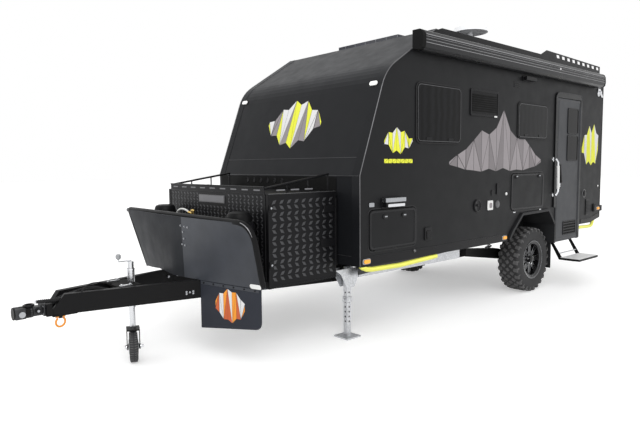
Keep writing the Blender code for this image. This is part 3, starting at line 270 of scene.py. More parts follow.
def lamp_lens(name, colour, strength):
    """A ribbed lens, a little brighter than its surroundings."""
    look = Look(name)
    ribs = look.node("ShaderNodeTexWave", Vector=look.place, Scale=55.0).outputs[0]
    return look.finish(Base_Color=look.ramp(ribs, (0.2, scaled(colour, 0.8)), (0.8, colour)),
                       Roughness=0.18,
                       Emission_Color=(*colour, 1.0), Emission_Strength=strength)


CHARCOAL = painted("charcoal_panel", (0.0080, 0.0083, 0.0092), 0.42, grain=420.0, bump=0.10, specular=0.15)
# The nose panel: a little bluer than the charcoal panel as painted bluish shade on its lower face, with
# painted light from above on its upward slopes
NOSE = painted("nose_panel", (0.0092, 0.0098, 0.0114), 0.42, grain=420.0, bump=0.08, specular=0.12,
               upward_light=0.035)
DOOR = painted("door_panel", (0.046, 0.048, 0.053), 0.42, grain=420.0, bump=0.08, specular=0.20)
DOOR_FRAME = painted("door_frame", (0.0075, 0.0078, 0.0085), 0.30, grain=700.0, bump=0.05, specular=0.25)
BLACK = painted("powder_black", (0.0055, 0.0055, 0.0060), 0.42, grain=700.0, bump=0.14, dust=0.025,
                specular=0.12)
ARCH = painted("arch_plastic", (0.020, 0.0205, 0.022), 0.46, grain=700.0, bump=0.12, specular=0.16)
SATIN = painted("satin_black", (0.0075, 0.0075, 0.0085), 0.30, grain=900.0, bump=0.05, specular=0.14)
ALLOY_BLACK = painted("black_aluminium", (0.0125, 0.0128, 0.014), 0.30, metal=0.2, grain=300.0, bump=0.06,
                      specular=0.26)
# Pale aluminium for thin strips that stand for highlights: a painted highlight on the awning and the guard's
# rim
PAINTED_HIGHLIGHT = painted("painted_highlight_aluminium", (0.30, 0.30, 0.31), 0.30, metal=0.6, grain=300.0)
CHECKER = painted("checker_plate", (0.0070, 0.0070, 0.0080), 0.36, metal=0.2, bump=0.08, specular=0.16)
# The raised marks, far lighter than the plate they are pressed from: a painted highlight on their tops
LUG_HIGHLIGHT = painted("checker_lug_highlight", (0.062, 0.063, 0.067), 0.34, metal=0.6, bump=0.08)
PLATE_GREY = painted("slot_grey", (0.15, 0.15, 0.16), 0.40)
TRIM_GREY = painted("edge_trim", (0.12, 0.12, 0.125), 0.32, metal=0.6, grain=600.0)
TRIM_DARK = painted("dark_trim", (0.040, 0.041, 0.044), 0.36, metal=0.4, grain=600.0)
# Two copies of the guard sheet: the far half darker as painted shade, the near half (GUARD) lighter and bluer
# as a painted reflection
GUARD_FAR_SHADED = painted("guard_far_shaded_sheet", (0.020, 0.0215, 0.025), 0.52, grain=300.0, bump=0.10, blotch=3.0,
                    spread=0.20, specular=0.08)
GUARD = painted("guard_sheet", (0.040, 0.044, 0.053), 0.42, grain=300.0, bump=0.10, blotch=3.0, spread=0.22,
                specular=0.28)
FLAP = painted("flap_rubber", (0.022, 0.025, 0.034), 0.60, bump=0.2, specular=0.20)
RUBBER = tyre_rubber("rubber", (0.012, 0.012, 0.013))
TYRE = tyre_rubber("tyre", (0.032, 0.032, 0.033))
JOCKEY_TYRE = tyre_rubber("jockey_tyre", (0.030, 0.030, 0.032))
# A lit copy of the tyre rubber, over three times as light: painted light on the tread blocks and jockey ribs
LIT_TREAD = tyre_rubber("tread", (0.110, 0.109, 0.110))
RIM = painted("rim_black", (0.009, 0.009, 0.010), 0.16, metal=0.3, coat=0.5, grain=300.0, bump=0.02,
              specular=0.35)
LIP_DARK = painted("rim_lip", (0.050, 0.051, 0.054), 0.24, metal=0.6, grain=300.0, bump=0.02)
MACHINED = bright("machined_edge", (0.40, 0.41, 0.43), 0.28)
HITCH_GREY = painted("hitch_casting", (0.034, 0.035, 0.038), 0.46, metal=0.4, grain=160.0, bump=0.18,
                     blotch=14.0, spread=0.30)
CRANK_GREY = painted("crank_grey", (0.32, 0.33, 0.34), 0.40, metal=0.3, grain=200.0, bump=0.06, blotch=20.0,
                     spread=0.25)
ZINC = zinc("galvanised", 0.38)
SIDE_GUARD = zinc("side_guard", 0.42, paint=(0.6475, -0.0493))
# Near-white step aluminium: its pale metal, with painted glare in place of the light the tread throws back
STEP_GLARE = painted("step_aluminium_glare", (0.80, 0.80, 0.81), 0.40, metal=0.15, grain=300.0, bump=0.05,
                      spread=0.06)
STEEL = bright("bright_steel", (0.72, 0.73, 0.75), 0.20)
CHROME = bright("chrome", (0.80, 0.81, 0.83), 0.08)
TUBE_STEEL = bright("tube_steel", (0.66, 0.67, 0.69), 0.22)
BRASS = bright("brass", (0.62, 0.44, 0.16), 0.22)
LIME = painted("lime_paint", (0.90, 0.90, 0.14), 0.38, grain=600.0, bump=0.05, spread=0.05)
DISC = painted("antenna_plastic", (0.92, 0.93, 0.95), 0.30, bump=0.02, spread=0.02)
WHITE = painted("white_plastic", (0.80, 0.80, 0.79), 0.38, bump=0.05, spread=0.03)
SILVER = painted("silver_print", (0.285, 0.262, 0.272), 0.50, spread=0.10, specular=0.20)
SILVER_DARK = painted("dark_silver_print", (0.205, 0.188, 0.195), 0.50, specular=0.20)
LIME_PRINT = painted("lime_print", (0.80, 0.82, 0.06), 0.45, spread=0.06, specular=0.20)
WHITE_PRINT = painted("white_print", (0.72, 0.72, 0.72), 0.45, spread=0.05, specular=0.20)
ORANGE = painted("orange_coat", (0.85, 0.30, 0.01), 0.35, bump=0.05, spread=0.08)
RED_ORANGE = painted("rust_print", (0.55, 0.10, 0.02), 0.42, spread=0.08)
GLASS = pane("tinted_pane", (0.0032, 0.0033, 0.0038), 1.6)
REAR_GLASS = pane("plain_pane", (0.0075, 0.0078, 0.0086), 0.5)
DOOR_GLASS = pane("door_pane", (0.0020, 0.0020, 0.0024), 0.3)
SOLAR = solar_cells("solar_cell", (0.010, 0.012, 0.022))
AMBER = lamp_lens("amber_lens", (1.0, 0.42, 0.03), 0.25)
RED = lamp_lens("red_lens", (0.55, 0.02, 0.02), 0.10)
CLEAR = lamp_lens("clear_lens", (0.90, 0.90, 0.88), 0.25)
HOSE = painted("pale_hose", (0.70, 0.70, 0.68), 0.40, bump=0.05, spread=0.04)
DARK = painted("dark_recess", (0.003, 0.003, 0.003), 0.70, grain=900.0, bump=0.05, specular=0.15)


# Shapes: each adds itself to a mesh under way


def place_on(centre, axis):
    """A matrix that takes z to an axis through a centre."""
    return Matrix.Translation(Vector(centre)) @ Vector(axis).to_track_quat("Z", "Y").to_matrix().to_4x4()


def circle(sides):
    return [2 * math.pi * k / sides for k in range(sides)]


def join_rings(work, first, second):
    """Faces between two rings of corners."""
    count = len(first)
    for k in range(count):
        work.faces.new((first[k], first[(k + 1) % count], second[(k + 1) % count], second[k]))


def skin(work, rings, closed=False):
    """Faces along a row of rings, with caps unless the row is closed."""
    for first, second in zip(rings, rings[1:] + rings[:1] if closed else rings[1:]):
        join_rings(work, first, second)
    if not closed:
        work.faces.new(rings[0][::-1])
        work.faces.new(rings[-1])


def box(work, low, high, matrix=None):
    """A box between two corners, moved by a matrix where one is given."""
    low, high = Vector(low), Vector(high)
    made = bmesh.ops.create_cube(work, size=1.0)["verts"]
    bmesh.ops.scale(work, vec=high - low, verts=made)
    bmesh.ops.translate(work, vec=(low + high) / 2, verts=made)
    if matrix is not None:
        bmesh.ops.transform(work, matrix=matrix, verts=made)


def rod(work, start, end, radius, sides):
    start, end = Vector(start), Vector(end)
    bmesh.ops.create_cone(work, cap_ends=True, segments=sides, radius1=radius, radius2=radius,
                          depth=(end - start).length, matrix=place_on((start + end) / 2, end - start))


def ball(work, centre, radius, squash):
    made = bmesh.ops.create_uvsphere(work, u_segments=16, v_segments=8, radius=radius)["verts"]
    bmesh.ops.scale(work, vec=squash, verts=made)
    bmesh.ops.translate(work, vec=centre, verts=made)


def tube(work, points, radius, sides, closed=False):
    """A tube along points, its rings carried without twist."""
    points = [Vector(p) for p in points]
    last = len(points) - 1
    rings = []
    side = None
    for i, here in enumerate(points):
        before = points[i - 1] if closed or i > 0 else here
        after = points[(i + 1) % len(points)] if closed or i < last else here
        along = (after - before).normalized()
        if side is None:
            side = along.cross(Vector((0.31, 0.17, 0.94))).normalized()
        side = (side - along * side.dot(along)).normalized()
        top = along.cross(side)
        rings.append([work.verts.new(here + (side * math.cos(a) + top * math.sin(a)) * radius)
                      for a in circle(sides)])
    skin(work, rings, closed)


def ring(work, centre, axis, radius, thick, sides):
    """A round ring about an axis."""
    axis = Vector(axis).normalized()
    first = axis.orthogonal().normalized()
    second = axis.cross(first)
    points = [Vector(centre) + (first * math.cos(a) + second * math.sin(a)) * radius for a in circle(sides)]
    tube(work, points, thick, 10, True)


def prism(work, outline, place, thickness):
    """An outline of (u, v) points, extruded; place turns (u, v, depth) into the vehicle's frame."""
    skin(work, [[work.verts.new(place(u, v, depth)) for u, v in outline] for depth in (0.0, thickness)])


def plate(work, bounds, radius, place, thickness):
    """A flat plate with round corners."""
    prism(work, rounded(*bounds, radius), place, thickness)


def edging(work, bounds, outer, inner, place, thickness, steps=5):
    """A flat ring between two outlines, each the bounds grown by a distance, with its corner radius."""
    outlines = [rounded(*grown(bounds, by), radius, steps) for by, radius in (outer, inner)]
    loops = ((outlines[0], 0.0), (outlines[0], thickness), (outlines[1], thickness), (outlines[1], 0.0))
    skin(work, [[work.verts.new(place(u, v, depth)) for u, v in outline] for outline, depth in loops], True)


def strip(work, path, low, high, proud):
    """A thin strip from y low to y high along a path in the centre plane, a little proud of it."""
    rings = []
    for k, here in enumerate(path):
        along = (path[min(k + 1, len(path) - 1)] - path[max(k - 1, 0)]).normalized()
        out = Vector((along.z, 0.0, -along.x))
        inner, outer = here - out * 0.001, here + out * proud
        rings.append([work.verts.new(spot + Vector((0.0, y, 0.0)))
                      for spot, y in ((inner, low), (outer, low), (outer, high), (inner, high))])
    skin(work, rings)


def turned(work, profile, centre, axis, sides):
    """A closed profile of (radius, height) points turned round an axis through the centre."""
    matrix = place_on(centre, axis)
    rings = []
    for radius, along in profile:
        angles = circle(sides) if radius else [0.0]
        rings.append([work.verts.new(matrix @ Vector((radius * math.cos(a), radius * math.sin(a), along)))
                      for a in angles])
    for first, second in zip(rings, rings[1:]):
        if len(first) == len(second):
            join_rings(work, first, second)
            continue
        for k in range(sides):
            following = (k + 1) % sides
            if len(first) == 1:
                work.faces.new((first[0], second[following], second[k]))
            else:
                work.faces.new((first[k], first[following], second[0]))


def new_object(name, data):
    obj = bpy.data.objects.new(name, data)
    bpy.context.scene.collection.objects.link(obj)
    return obj


def soften(obj, width, steps, limit):
    """Rounds an object's edges off where its faces meet at more than a limit in degrees."""
    edges = obj.modifiers.new("edges", "BEVEL")
    edges.width = width
    edges.segments = steps
    edges.limit_method = "ANGLE"
    edges.angle_limit = math.radians(limit)


def piece(name, finish, *shapes, body=ROOT, bevel=0.0, steps=2, smooth=35.0):
    """One object made of shapes, each a function with its values, that rides on a body."""
    work = bmesh.new()
    for draw, *values in shapes:
        draw(work, *values)
    bmesh.ops.recalc_face_normals(work, faces=work.faces)
    mesh = bpy.data.meshes.new(name)
    work.to_mesh(mesh)
    work.free()
    mesh.transform(Matrix.Translation(SHIFT))
    mesh.materials.append(finish)
    obj = new_object(name, mesh)
    if bevel:
        soften(obj, bevel, steps, 32)
    mesh.shade_smooth()
    mesh.set_sharp_from_angle(angle=math.radians(smooth))
    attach(obj, body)
    return obj


# Outlines, places and paths


def arc(u, v, radius, start, steps):
    """Points of a quarter circle from a start angle in degrees."""
    angles = [math.radians(start + 90 * k / steps) for k in range(steps + 1)]
    return [(u + radius * math.cos(a), v + radius * math.sin(a)) for a in angles]


def rounded(u0, u1, v0, v1, radius, steps=5):
    """A rectangle's outline with round corners."""
    low_u, high_u = min(u0, u1) + radius, max(u0, u1) - radius
    low_v, high_v = min(v0, v1) + radius, max(v0, v1) - radius
    corners = ((high_u, high_v, 0), (low_u, high_v, 90), (low_u, low_v, 180), (high_u, low_v, 270))
    return [point for u, v, start in corners for point in arc(u, v, radius, start, steps)]


def rectangle(u0, u1, v0, v1):
    return [(u0, v0), (u1, v0), (u1, v1), (u0, v1)]


def around(u, v, half_u, half_v):
    """The bounds of a plate about its middle."""
    return (u - half_u, u + half_u, v - half_v, v + half_v)


def grown(bounds, by):
    """(high u, low u, low v, high v) bounds, larger on every side."""
    front, rear, low, high = bounds
    return (front + by, rear - by, low - by, high + by)


def spread_out(count, low, high, margin):
    """The middles of equal spans between two margins."""
    return [low + margin + (high - low - 2 * margin) * (k + 0.5) / count for k in range(count)]


def on_side(side=1, proud=0.0, face=SIDE):
    """Places (x, z, depth) on a side face."""
    return lambda u, v, depth: Vector((u, side * (face + proud + depth), v))


def on_front(x):
    """Places (y, z, depth) on a face that looks forwards."""
    return lambda u, v, depth: Vector((x + depth, u, v))


def on_rear(proud=0.0):
    """Places (y, z, depth) on the rear face."""
    return lambda u, v, depth: Vector((REAR_X - proud - depth, u, v))


def on_nose(distance, proud=0.0):
    """Places (y, distance further up, depth) on the nose, from a distance up its path from the break."""
    for low, high in zip(NOSE_PATH, NOSE_PATH[1:]):
        span = high - low
        if distance <= span.length or high is NOSE_PATH[-1]:
            break
        distance -= span.length
    up = span.normalized()
    out = Vector((up.z, 0.0, -up.x))
    return lambda u, v, depth: low + Vector((0, u, 0)) + up * (distance + v) + out * (proud + depth)


def eased(before, corner, after, tangent, steps=6):
    """Points of a soft bend that leaves and meets its two runs a tangent away from their corner."""
    start = corner + (before - corner).normalized() * tangent
    end = corner + (after - corner).normalized() * tangent
    shares = [k / steps for k in range(steps + 1)]
    return [start * (1 - t) ** 2 + corner * 2 * t * (1 - t) + end * t ** 2 for t in shares]


def smooth_path(points, steps=4):
    """Points on a smooth curve through the given ones."""
    points = [Vector(p) for p in points]
    ends = [points[0] * 2 - points[1]] + points + [points[-1] * 2 - points[-2]]
    made = []
    for a, b, c, d in zip(ends, ends[1:], ends[2:], ends[3:]):
        for t in (k / steps for k in range(steps)):
            made.append(0.5 * (2 * b + (c - a) * t + (2 * a - 5 * b + 4 * c - d) * t * t
                               + (3 * b - a - 3 * c + d) * t ** 3))
    return made + [points[-1]]


NOSE_PATH = [NOSE_BREAK] + eased(NOSE_BREAK, NOSE_KNEE, ROOF_FRONT, KNEE_TANGENT) + [ROOF_FRONT]


# Finishes of the solids


def both(*names):
    return [f"{name}_{side}" for name in names for _, side in SIDES]


FINISHES = [
    (CHARCOAL, both("wall", "boot_hatch") + ["roof_panel", "rear_panel", "picnic_hatch"]),
    (DOOR, ["entry_door"]),
    (NOSE, ["nose_panel"]),
    (GLASS, both("window_front")),
    (REAR_GLASS, both("window_rear")),
    (BLACK, both("trailing_arm") + ["floor_deck", "chassis_frame", "jockey_fork", "entry_step"]),
    (BLACK, ["step_mount", "rear_bumper", "vent_left", "coupling"]),
    (ARCH, both("wheel_arch")),
    (SATIN, both("gas_bottle", "roof_rail") + ["porch_lamp", "work_lamp"]),
    (ALLOY_BLACK, ["awning_case"]),
    (GUARD, ["stone_guard"]),
    (FLAP, ["guard_flap"]),
    (CHECKER, both("toolbox_door") + ["toolbox"]),
    (JOCKEY_TYRE, ["jockey_wheel"]),
    (TUBE_STEEL, ["jockey_sleeve", "jockey_leg"]),
    (ZINC, both("leg_front", "leg_rear") + ["water_tank"]),
    (SIDE_GUARD, both("side_guard")),
    (LIME, both("side_tube_front", "side_tube_rear")),
    (TYRE, both("tyre")),
    (RIM, both("rim")),
    (STEEL, both("coil_spring")),
    (SOLAR, ["solar_panel"]),
    (DISC, ["antenna"]),
    (CHROME, ["grab_handle"]),
]

SOFT_EDGES = [
    (0.0015, ["toolbox"]),
    (0.003, both("boot_hatch", "toolbox_door", "leg_front", "leg_rear")),
    (0.003, ["picnic_hatch", "chassis_frame", "solar_panel"]),
    (0.004, both("wall", "window_front", "window_rear") + ["awning_case"]),
    (0.005, ["entry_door"]),
    (0.006, ["rear_bumper", "porch_lamp"]),
    (0.008, ["work_lamp"]),
    (0.012, ["nose_panel"]),
]


def dress_solids():
    """Gives each solid its material, and softens the edges of the pressed and moulded ones."""
    for finish, names in FINISHES:
        for name in names:
            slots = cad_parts[name].data.materials
            if len(slots):
                slots[0] = finish
            else:
                slots.append(finish)
    for width, names in SOFT_EDGES:
        for name in names:
            soften(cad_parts[name], width, 2, 30)


# Pieces of one kind of shape


def plates(name, finish, all_bounds, radius, place, thickness, **looks):
    """Flat plates with round corners, in one piece."""
    return piece(name, finish, *[(plate, bounds, radius, place, thickness) for bounds in all_bounds],
                 **looks)


def turnings(name, finish, profile, centres, axis, sides, **looks):
    """Turned parts of one profile, in one piece."""
    return piece(name, finish, *[(turned, profile, centre, axis, sides) for centre in centres], **looks)


def rods(name, finish, *bars, **looks):
    """Rods in one piece, each with its ends, radius and sides."""
    return piece(name, finish, *[(rod, *bar) for bar in bars], **looks)


def boxes(name, finish, *corners, **looks):
    """Boxes in one piece, each with its low and high corner."""
    return piece(name, finish, *[(box, low, high) for low, high in corners], **looks)


def fitting(name, finish, bounds, radius, depth, proud=0.0, bevel=0.002, body=ROOT):
    """A flat fitting on the entry side, from its (front, rear, low, high) bounds."""
    plates(name, finish, [bounds], radius, on_side(1, proud), depth, bevel=bevel, body=body)


def button(name, finish, x, z, radius, depth, proud=0.0):
    """A domed round fitting on the entry side."""
    profile = [(0.0, depth), (radius * 0.7, depth * 0.92), (radius, depth * 0.45), (radius, 0.0),
               (0.0, 0.0)]
    turnings(name, finish, profile, [(x, SIDE + proud, z)], Y_AXIS, 24)


def band(inner, outer, half):
    """The profile of a thin band."""
    return [(outer, half), (outer, -half), (inner, -half), (inner, half), (outer, half)]


# Body


def make_nose_trims():
    """The pale line along the nose's edges, a painted highlight on the rounded corner, seams across it,
    corner covers and clearance lamps.
    """
    path = [NOSE_FOOT] + NOSE_PATH
    for side, name in SIDES:
        edge = [point + Vector((0.001, side * (SIDE - 0.001), 0.0)) for point in path]
        # A pale tube on the nose's rounded corner: a painted highlight along the edge
        piece(f"nose_edge_highlight_{name}", TRIM_GREY, (tube, edge, 0.0045, 8))
    piece("nose_seams", TRIM_DARK, (box, (3.150, -1.080, 1.490), (3.1605, 1.080, 1.498)),
          (prism, rectangle(-1.085, 1.085, -0.002, 0.002), on_nose(0.165), 0.0016))
    piece("nose_corner_covers", NOSE, (strip, path, 1.000, 1.088, 0.0022),
          (strip, path, -1.088, -1.000, 0.0022))
    bases = [around(y, 0.0, 0.055, 0.030) for y in CLEARANCE_LAMPS]
    plates("clearance_lamp_bases", SATIN, bases, 0.027, on_nose(0.855), 0.005, bevel=0.0015)
    lenses = [around(y, 0.0, 0.045, 0.020) for y in CLEARANCE_LAMPS]
    plates("clearance_lamps", CLEAR, lenses, 0.018, on_nose(0.855), 0.015, bevel=0.0015)


def make_front_recess():
    """The dark board behind the tray with its row of round holes, and the seam low on the front face."""
    boxes("tray_back_board", DARK, ((3.1555, -1.060, 1.362), (3.1600, 0.804, 1.482)), bevel=0.001)
    rim = [(0.0, 0.0008), (0.018, 0.0008), (0.022, 0.004), (0.026, 0.0), (0.0, 0.0)]
    turnings("tray_back_board_holes", SATIN, rim, [(3.1602, 0.034 - 0.1162 * k, 1.440) for k in range(6)],
             X_AXIS, 18)
    boxes("front_low_seam", TRIM_DARK, ((3.1555, -0.99, 0.789), (3.1575, 0.99, 0.795)))


def make_side_seams():
    """The skirt strip, its top edge and the line down the rear corner, on both sides."""
    tail = [(-1.20, 0.765), (-1.50, 0.765), (-1.80, 0.820), (-1.80, 0.880), (-1.49, 0.822), (-1.20, 0.822)]
    for side, name in SIDES:
        place = on_side(side)
        piece(f"skirt_{name}", SATIN, (prism, rectangle(0.745, 3.150, 0.709, 0.786), place, 0.004),
              (prism, tail, place, 0.004), bevel=0.0012, steps=1)
        edge = rectangle(0.745, 3.150, 0.786, 0.790)
        piece(f"skirt_edge_{name}", ALLOY_BLACK, (prism, edge, place, 0.0045))
        corner = [(REAR_X + 0.002, side * (SIDE - 0.002), z) for z in (0.815, 2.788)]
        piece(f"rear_edge_{name}", ALLOY_BLACK, (tube, corner, 0.0055, 8))


def make_window_frames():
    """Rubber seals round the panes, and a thin pale line and two catches on each pane."""
    for side, name in SIDES:
        for label in ("window_front", "window_rear"):
            opening = OPENINGS[label]
            front, rear, low, _ = opening
            face = on_side(side, 0.0118)
            piece(f"{label}_seal_{name}", RUBBER,
                  (edging, opening, (0.016, 0.066), (0.001, 0.051), on_side(side), 0.010), bevel=0.003)
            piece(f"{label}_line_{name}", TRIM_GREY,
                  (edging, opening, (-0.008, 0.044), (-0.012, 0.040), face, 0.0014))
            spots = [front + (rear - front) * share for share in (0.25, 0.75)]
            catches = [around(x, low + 0.0315, 0.045, 0.0135) for x in spots]
            plates(f"{label}_catches_{name}", SATIN, catches, 0.010, face, 0.004, bevel=0.0012)


def make_vent():
    """The louvre's frame, slats and its small white catch."""
    front, rear, low, high = OPENINGS["vent"]
    piece("vent_frame", SATIN, (edging, OPENINGS["vent"], (0.014, 0.020), (-0.010, 0.012), on_side(),
                                0.011),
          bevel=0.003)
    levels = spread_out(8, low, high, 0.034)
    slats = [rectangle(front - 0.024, rear + 0.024, z - 0.010, z + 0.004) for z in levels]
    piece("vent_slats", DARK, *[(prism, slat, on_side(1, 0.0055), 0.006) for slat in slats], bevel=0.0015)
    fitting("vent_catch", WHITE, (rear + 0.075, rear + 0.020, low - 0.014, low + 0.003), 0.005, 0.014)


def hatch_details(name, label, side, latches):
    """A hatch's seal on the wall, and the raised border and oval latches that ride on the hatch."""
    opening = OPENINGS[label]
    face = on_side(side, 0.0058)
    piece(f"{name}_surround", ALLOY_BLACK,
          (edging, opening, (0.012, 0.062), (0.0008, 0.051), on_side(side), 0.0022), bevel=0.0008, steps=1)
    piece(f"{name}_border", ALLOY_BLACK, (edging, opening, (-0.012, 0.040), (-0.030, 0.026), face, 0.0035),
          body=name, bevel=0.0012)
    plates(f"{name}_latches", RUBBER, [around(x, z, 0.033, 0.022) for x, z in latches], 0.020, face, 0.010,
           body=name, bevel=0.004)
    tabs = [(x - 0.018, x + 0.016, z - 0.004, z + 0.008) for x, z in latches]
    plates(f"{name}_latch_tabs", MACHINED, tabs, 0.005, on_side(side, 0.0155), 0.003, body=name,
           bevel=0.001)


def make_hatch_details():
    """The three hatches' trims, and the knuckles that carry the picnic hatch."""
    hatch_details("picnic_hatch", "picnic", 1, [(0.560, 1.440), (0.020, 1.440)])
    for side, name in SIDES:
        hatch_details(f"boot_hatch_{name}", "boot", side, [(2.838, 1.127), (2.578, 1.127)])
    plates("picnic_knuckles", STEEL, [around(x, 1.028, 0.024, 0.006) for x in (0.589, -0.030)], 0.004,
           on_side(), 0.006, bevel=0.001)


def make_inlets():
    """Water, power and gas inlets, the lock knob, sockets and small marks on the entry side."""
    dish = [(0.0, 0.010), (0.050, 0.010), (0.058, 0.014), (0.068, 0.010), (0.070, 0.0), (0.0, 0.0)]
    boss = [(0.0, 0.020), (0.012, 0.018), (0.016, 0.010), (0.0, 0.010)]
    piece("water_inlet", SATIN, (turned, dish, (1.364, SIDE, 1.145), Y_AXIS, 36),
          (turned, boss, (1.364, SIDE, 1.150), Y_AXIS, 20))
    fitting("power_inlet", WHITE, (1.164, 1.064, 1.085, 1.189), 0.010, 0.014, bevel=0.003)
    fitting("power_inlet_lid", SILVER, (1.138, 1.090, 1.110, 1.164), 0.012, 0.006, 0.0138)
    bayonet = [(0.0, 0.012), (0.030, 0.012), (0.040, 0.006), (0.042, 0.0), (0.0, 0.0)]
    turnings("gas_bayonet", TRIM_GREY, bayonet, [(0.956, SIDE, 1.141)], Y_AXIS, 28)
    piece("slot_fitting", SATIN, (plate, (0.985, 0.938, 1.250, 1.372), 0.012, on_side(), 0.010),
          (plate, (1.090, 1.030, 1.240, 1.300), 0.012, on_side(), 0.006), bevel=0.002)
    button("lock_knob", WHITE, 0.772, 1.250, 0.018, 0.010)
    fitting("socket_plate", RUBBER, (2.266, 2.163, 0.857, 0.983), 0.014, 0.014, bevel=0.003)
    fitting("socket_lid", SATIN, (2.250, 2.179, 0.868, 0.950), 0.010, 0.008, 0.0138)
    button("skirt_knob", TRIM_GREY, 2.422, 0.777, 0.016, 0.014, 0.0035)
    plates("speaker_slots", SATIN, [(0.649, 0.512, z - 0.006, z + 0.006) for z in (2.462, 2.485, 2.508)],
           0.005,
           on_side(), 0.005)
    fitting("front_reflector", MACHINED, (3.044, 2.980, 1.221, 1.259), 0.008, 0.006)


def make_tail_fittings():
    """The slatted vent, the square socket and the two round fittings low at the rear of the entry side."""
    vent = (-1.340, -1.440, 0.869, 1.093)
    front, rear, low, high = vent
    fitting("tail_vent_frame", SATIN, vent, 0.012, 0.008)
    slats = [(front - 0.012, rear + 0.012, z - 0.007, z + 0.004) for z in spread_out(9, low, high, 0.020)]
    plates("tail_vent_slats", RUBBER, slats, 0.004, on_side(1, 0.0078), 0.005, bevel=0.0008, steps=1)
    fitting("tail_socket", RUBBER, (-1.580, -1.662, 0.905, 1.015), 0.012, 0.016, bevel=0.003)
    fitting("tail_socket_lid", SATIN, (-1.592, -1.650, 0.917, 0.990), 0.010, 0.007, 0.0158)
    button("tail_button", WHITE, -1.734, 1.266, 0.014, 0.008)
    button("tail_inlet", SATIN, -1.288, 1.176, 0.046, 0.016)
    rim = [(0.050, 0.005), (0.056, 0.003), (0.057, 0.0), (0.044, 0.0), (0.044, 0.005), (0.050, 0.005)]
    turnings("tail_inlet_ring", TRIM_GREY, rim, [(-1.288, SIDE + 0.0001, 1.176)], Y_AXIS, 32)


def make_markers():
    """Amber side markers on both skirts and at the rear corners."""
    for side, name in SIDES:
        for label, x, z in (("front", 3.080, 0.752), ("middle", 0.800, 0.752), ("rear", -1.745, 0.945)):
            plates(f"marker_base_{label}_{name}", CRANK_GREY, [around(x, z, 0.050, 0.024)], 0.016,
                   on_side(side, 0.0035), 0.006, bevel=0.002)
            plates(f"marker_{label}_{name}", AMBER, [around(x, z, 0.036, 0.017)], 0.013,
                   on_side(side, 0.009),
                   0.011, bevel=0.004)


def make_rear():
    """Tail lamps, a plate holder without a number, and a window in its frame."""
    lamps = (("stop", 1.300, 1.400, RED), ("turn", 1.190, 1.285, AMBER), ("reverse", 1.080, 1.175, CLEAR))
    for side, name in SIDES:
        bounds = (side * 0.900, side * 1.000, 1.020, 1.420)
        plates(f"tail_lamp_{name}", SATIN, [bounds], 0.018, on_rear(), 0.020, bevel=0.004)
        for label, low, high, finish in lamps:
            bounds = (side * 0.914, side * 0.986, low, high)
            plates(f"{label}_lamp_{name}", finish, [bounds], 0.014, on_rear(0.0198), 0.010, bevel=0.003)
    plates("number_plate_holder", SATIN, [(-0.190, 0.190, 1.060, 1.180)], 0.010, on_rear(), 0.008,
           bevel=0.002)
    plates("number_plate_blank", WHITE, [(-0.180, 0.180, 1.068, 1.172)], 0.008, on_rear(0.0078), 0.003)
    piece("rear_window_frame", SATIN,
          (edging, (0.42, -0.42, 1.900, 2.350), (0.0, 0.060), (-0.03, 0.040), on_rear(), 0.010),
          bevel=0.003)
    plates("rear_window", GLASS, [(-0.392, 0.392, 1.928, 2.322)], 0.042, on_rear(0.0002), 0.006,
           bevel=0.002)


def door_frame_outline():
    """A frame round three sides of the door: its outer edge with round top corners, then its inner one."""
    front, rear, top, radius = -0.372, -1.124, 2.482, 0.085
    front_in, rear_in, top_in = -0.4245, -1.0770, 2.4170
    foot_front, foot_rear = 1.03, 0.585
    outer = [(front, foot_front)] + arc(front - radius, top - radius, radius, 0, 6)
    outer += arc(rear + radius, top - radius, radius, 90, 6)
    return outer, [(rear, foot_rear), (rear_in, foot_rear), (rear_in, top_in), (front_in, top_in),
                   (front_in, foot_front)]


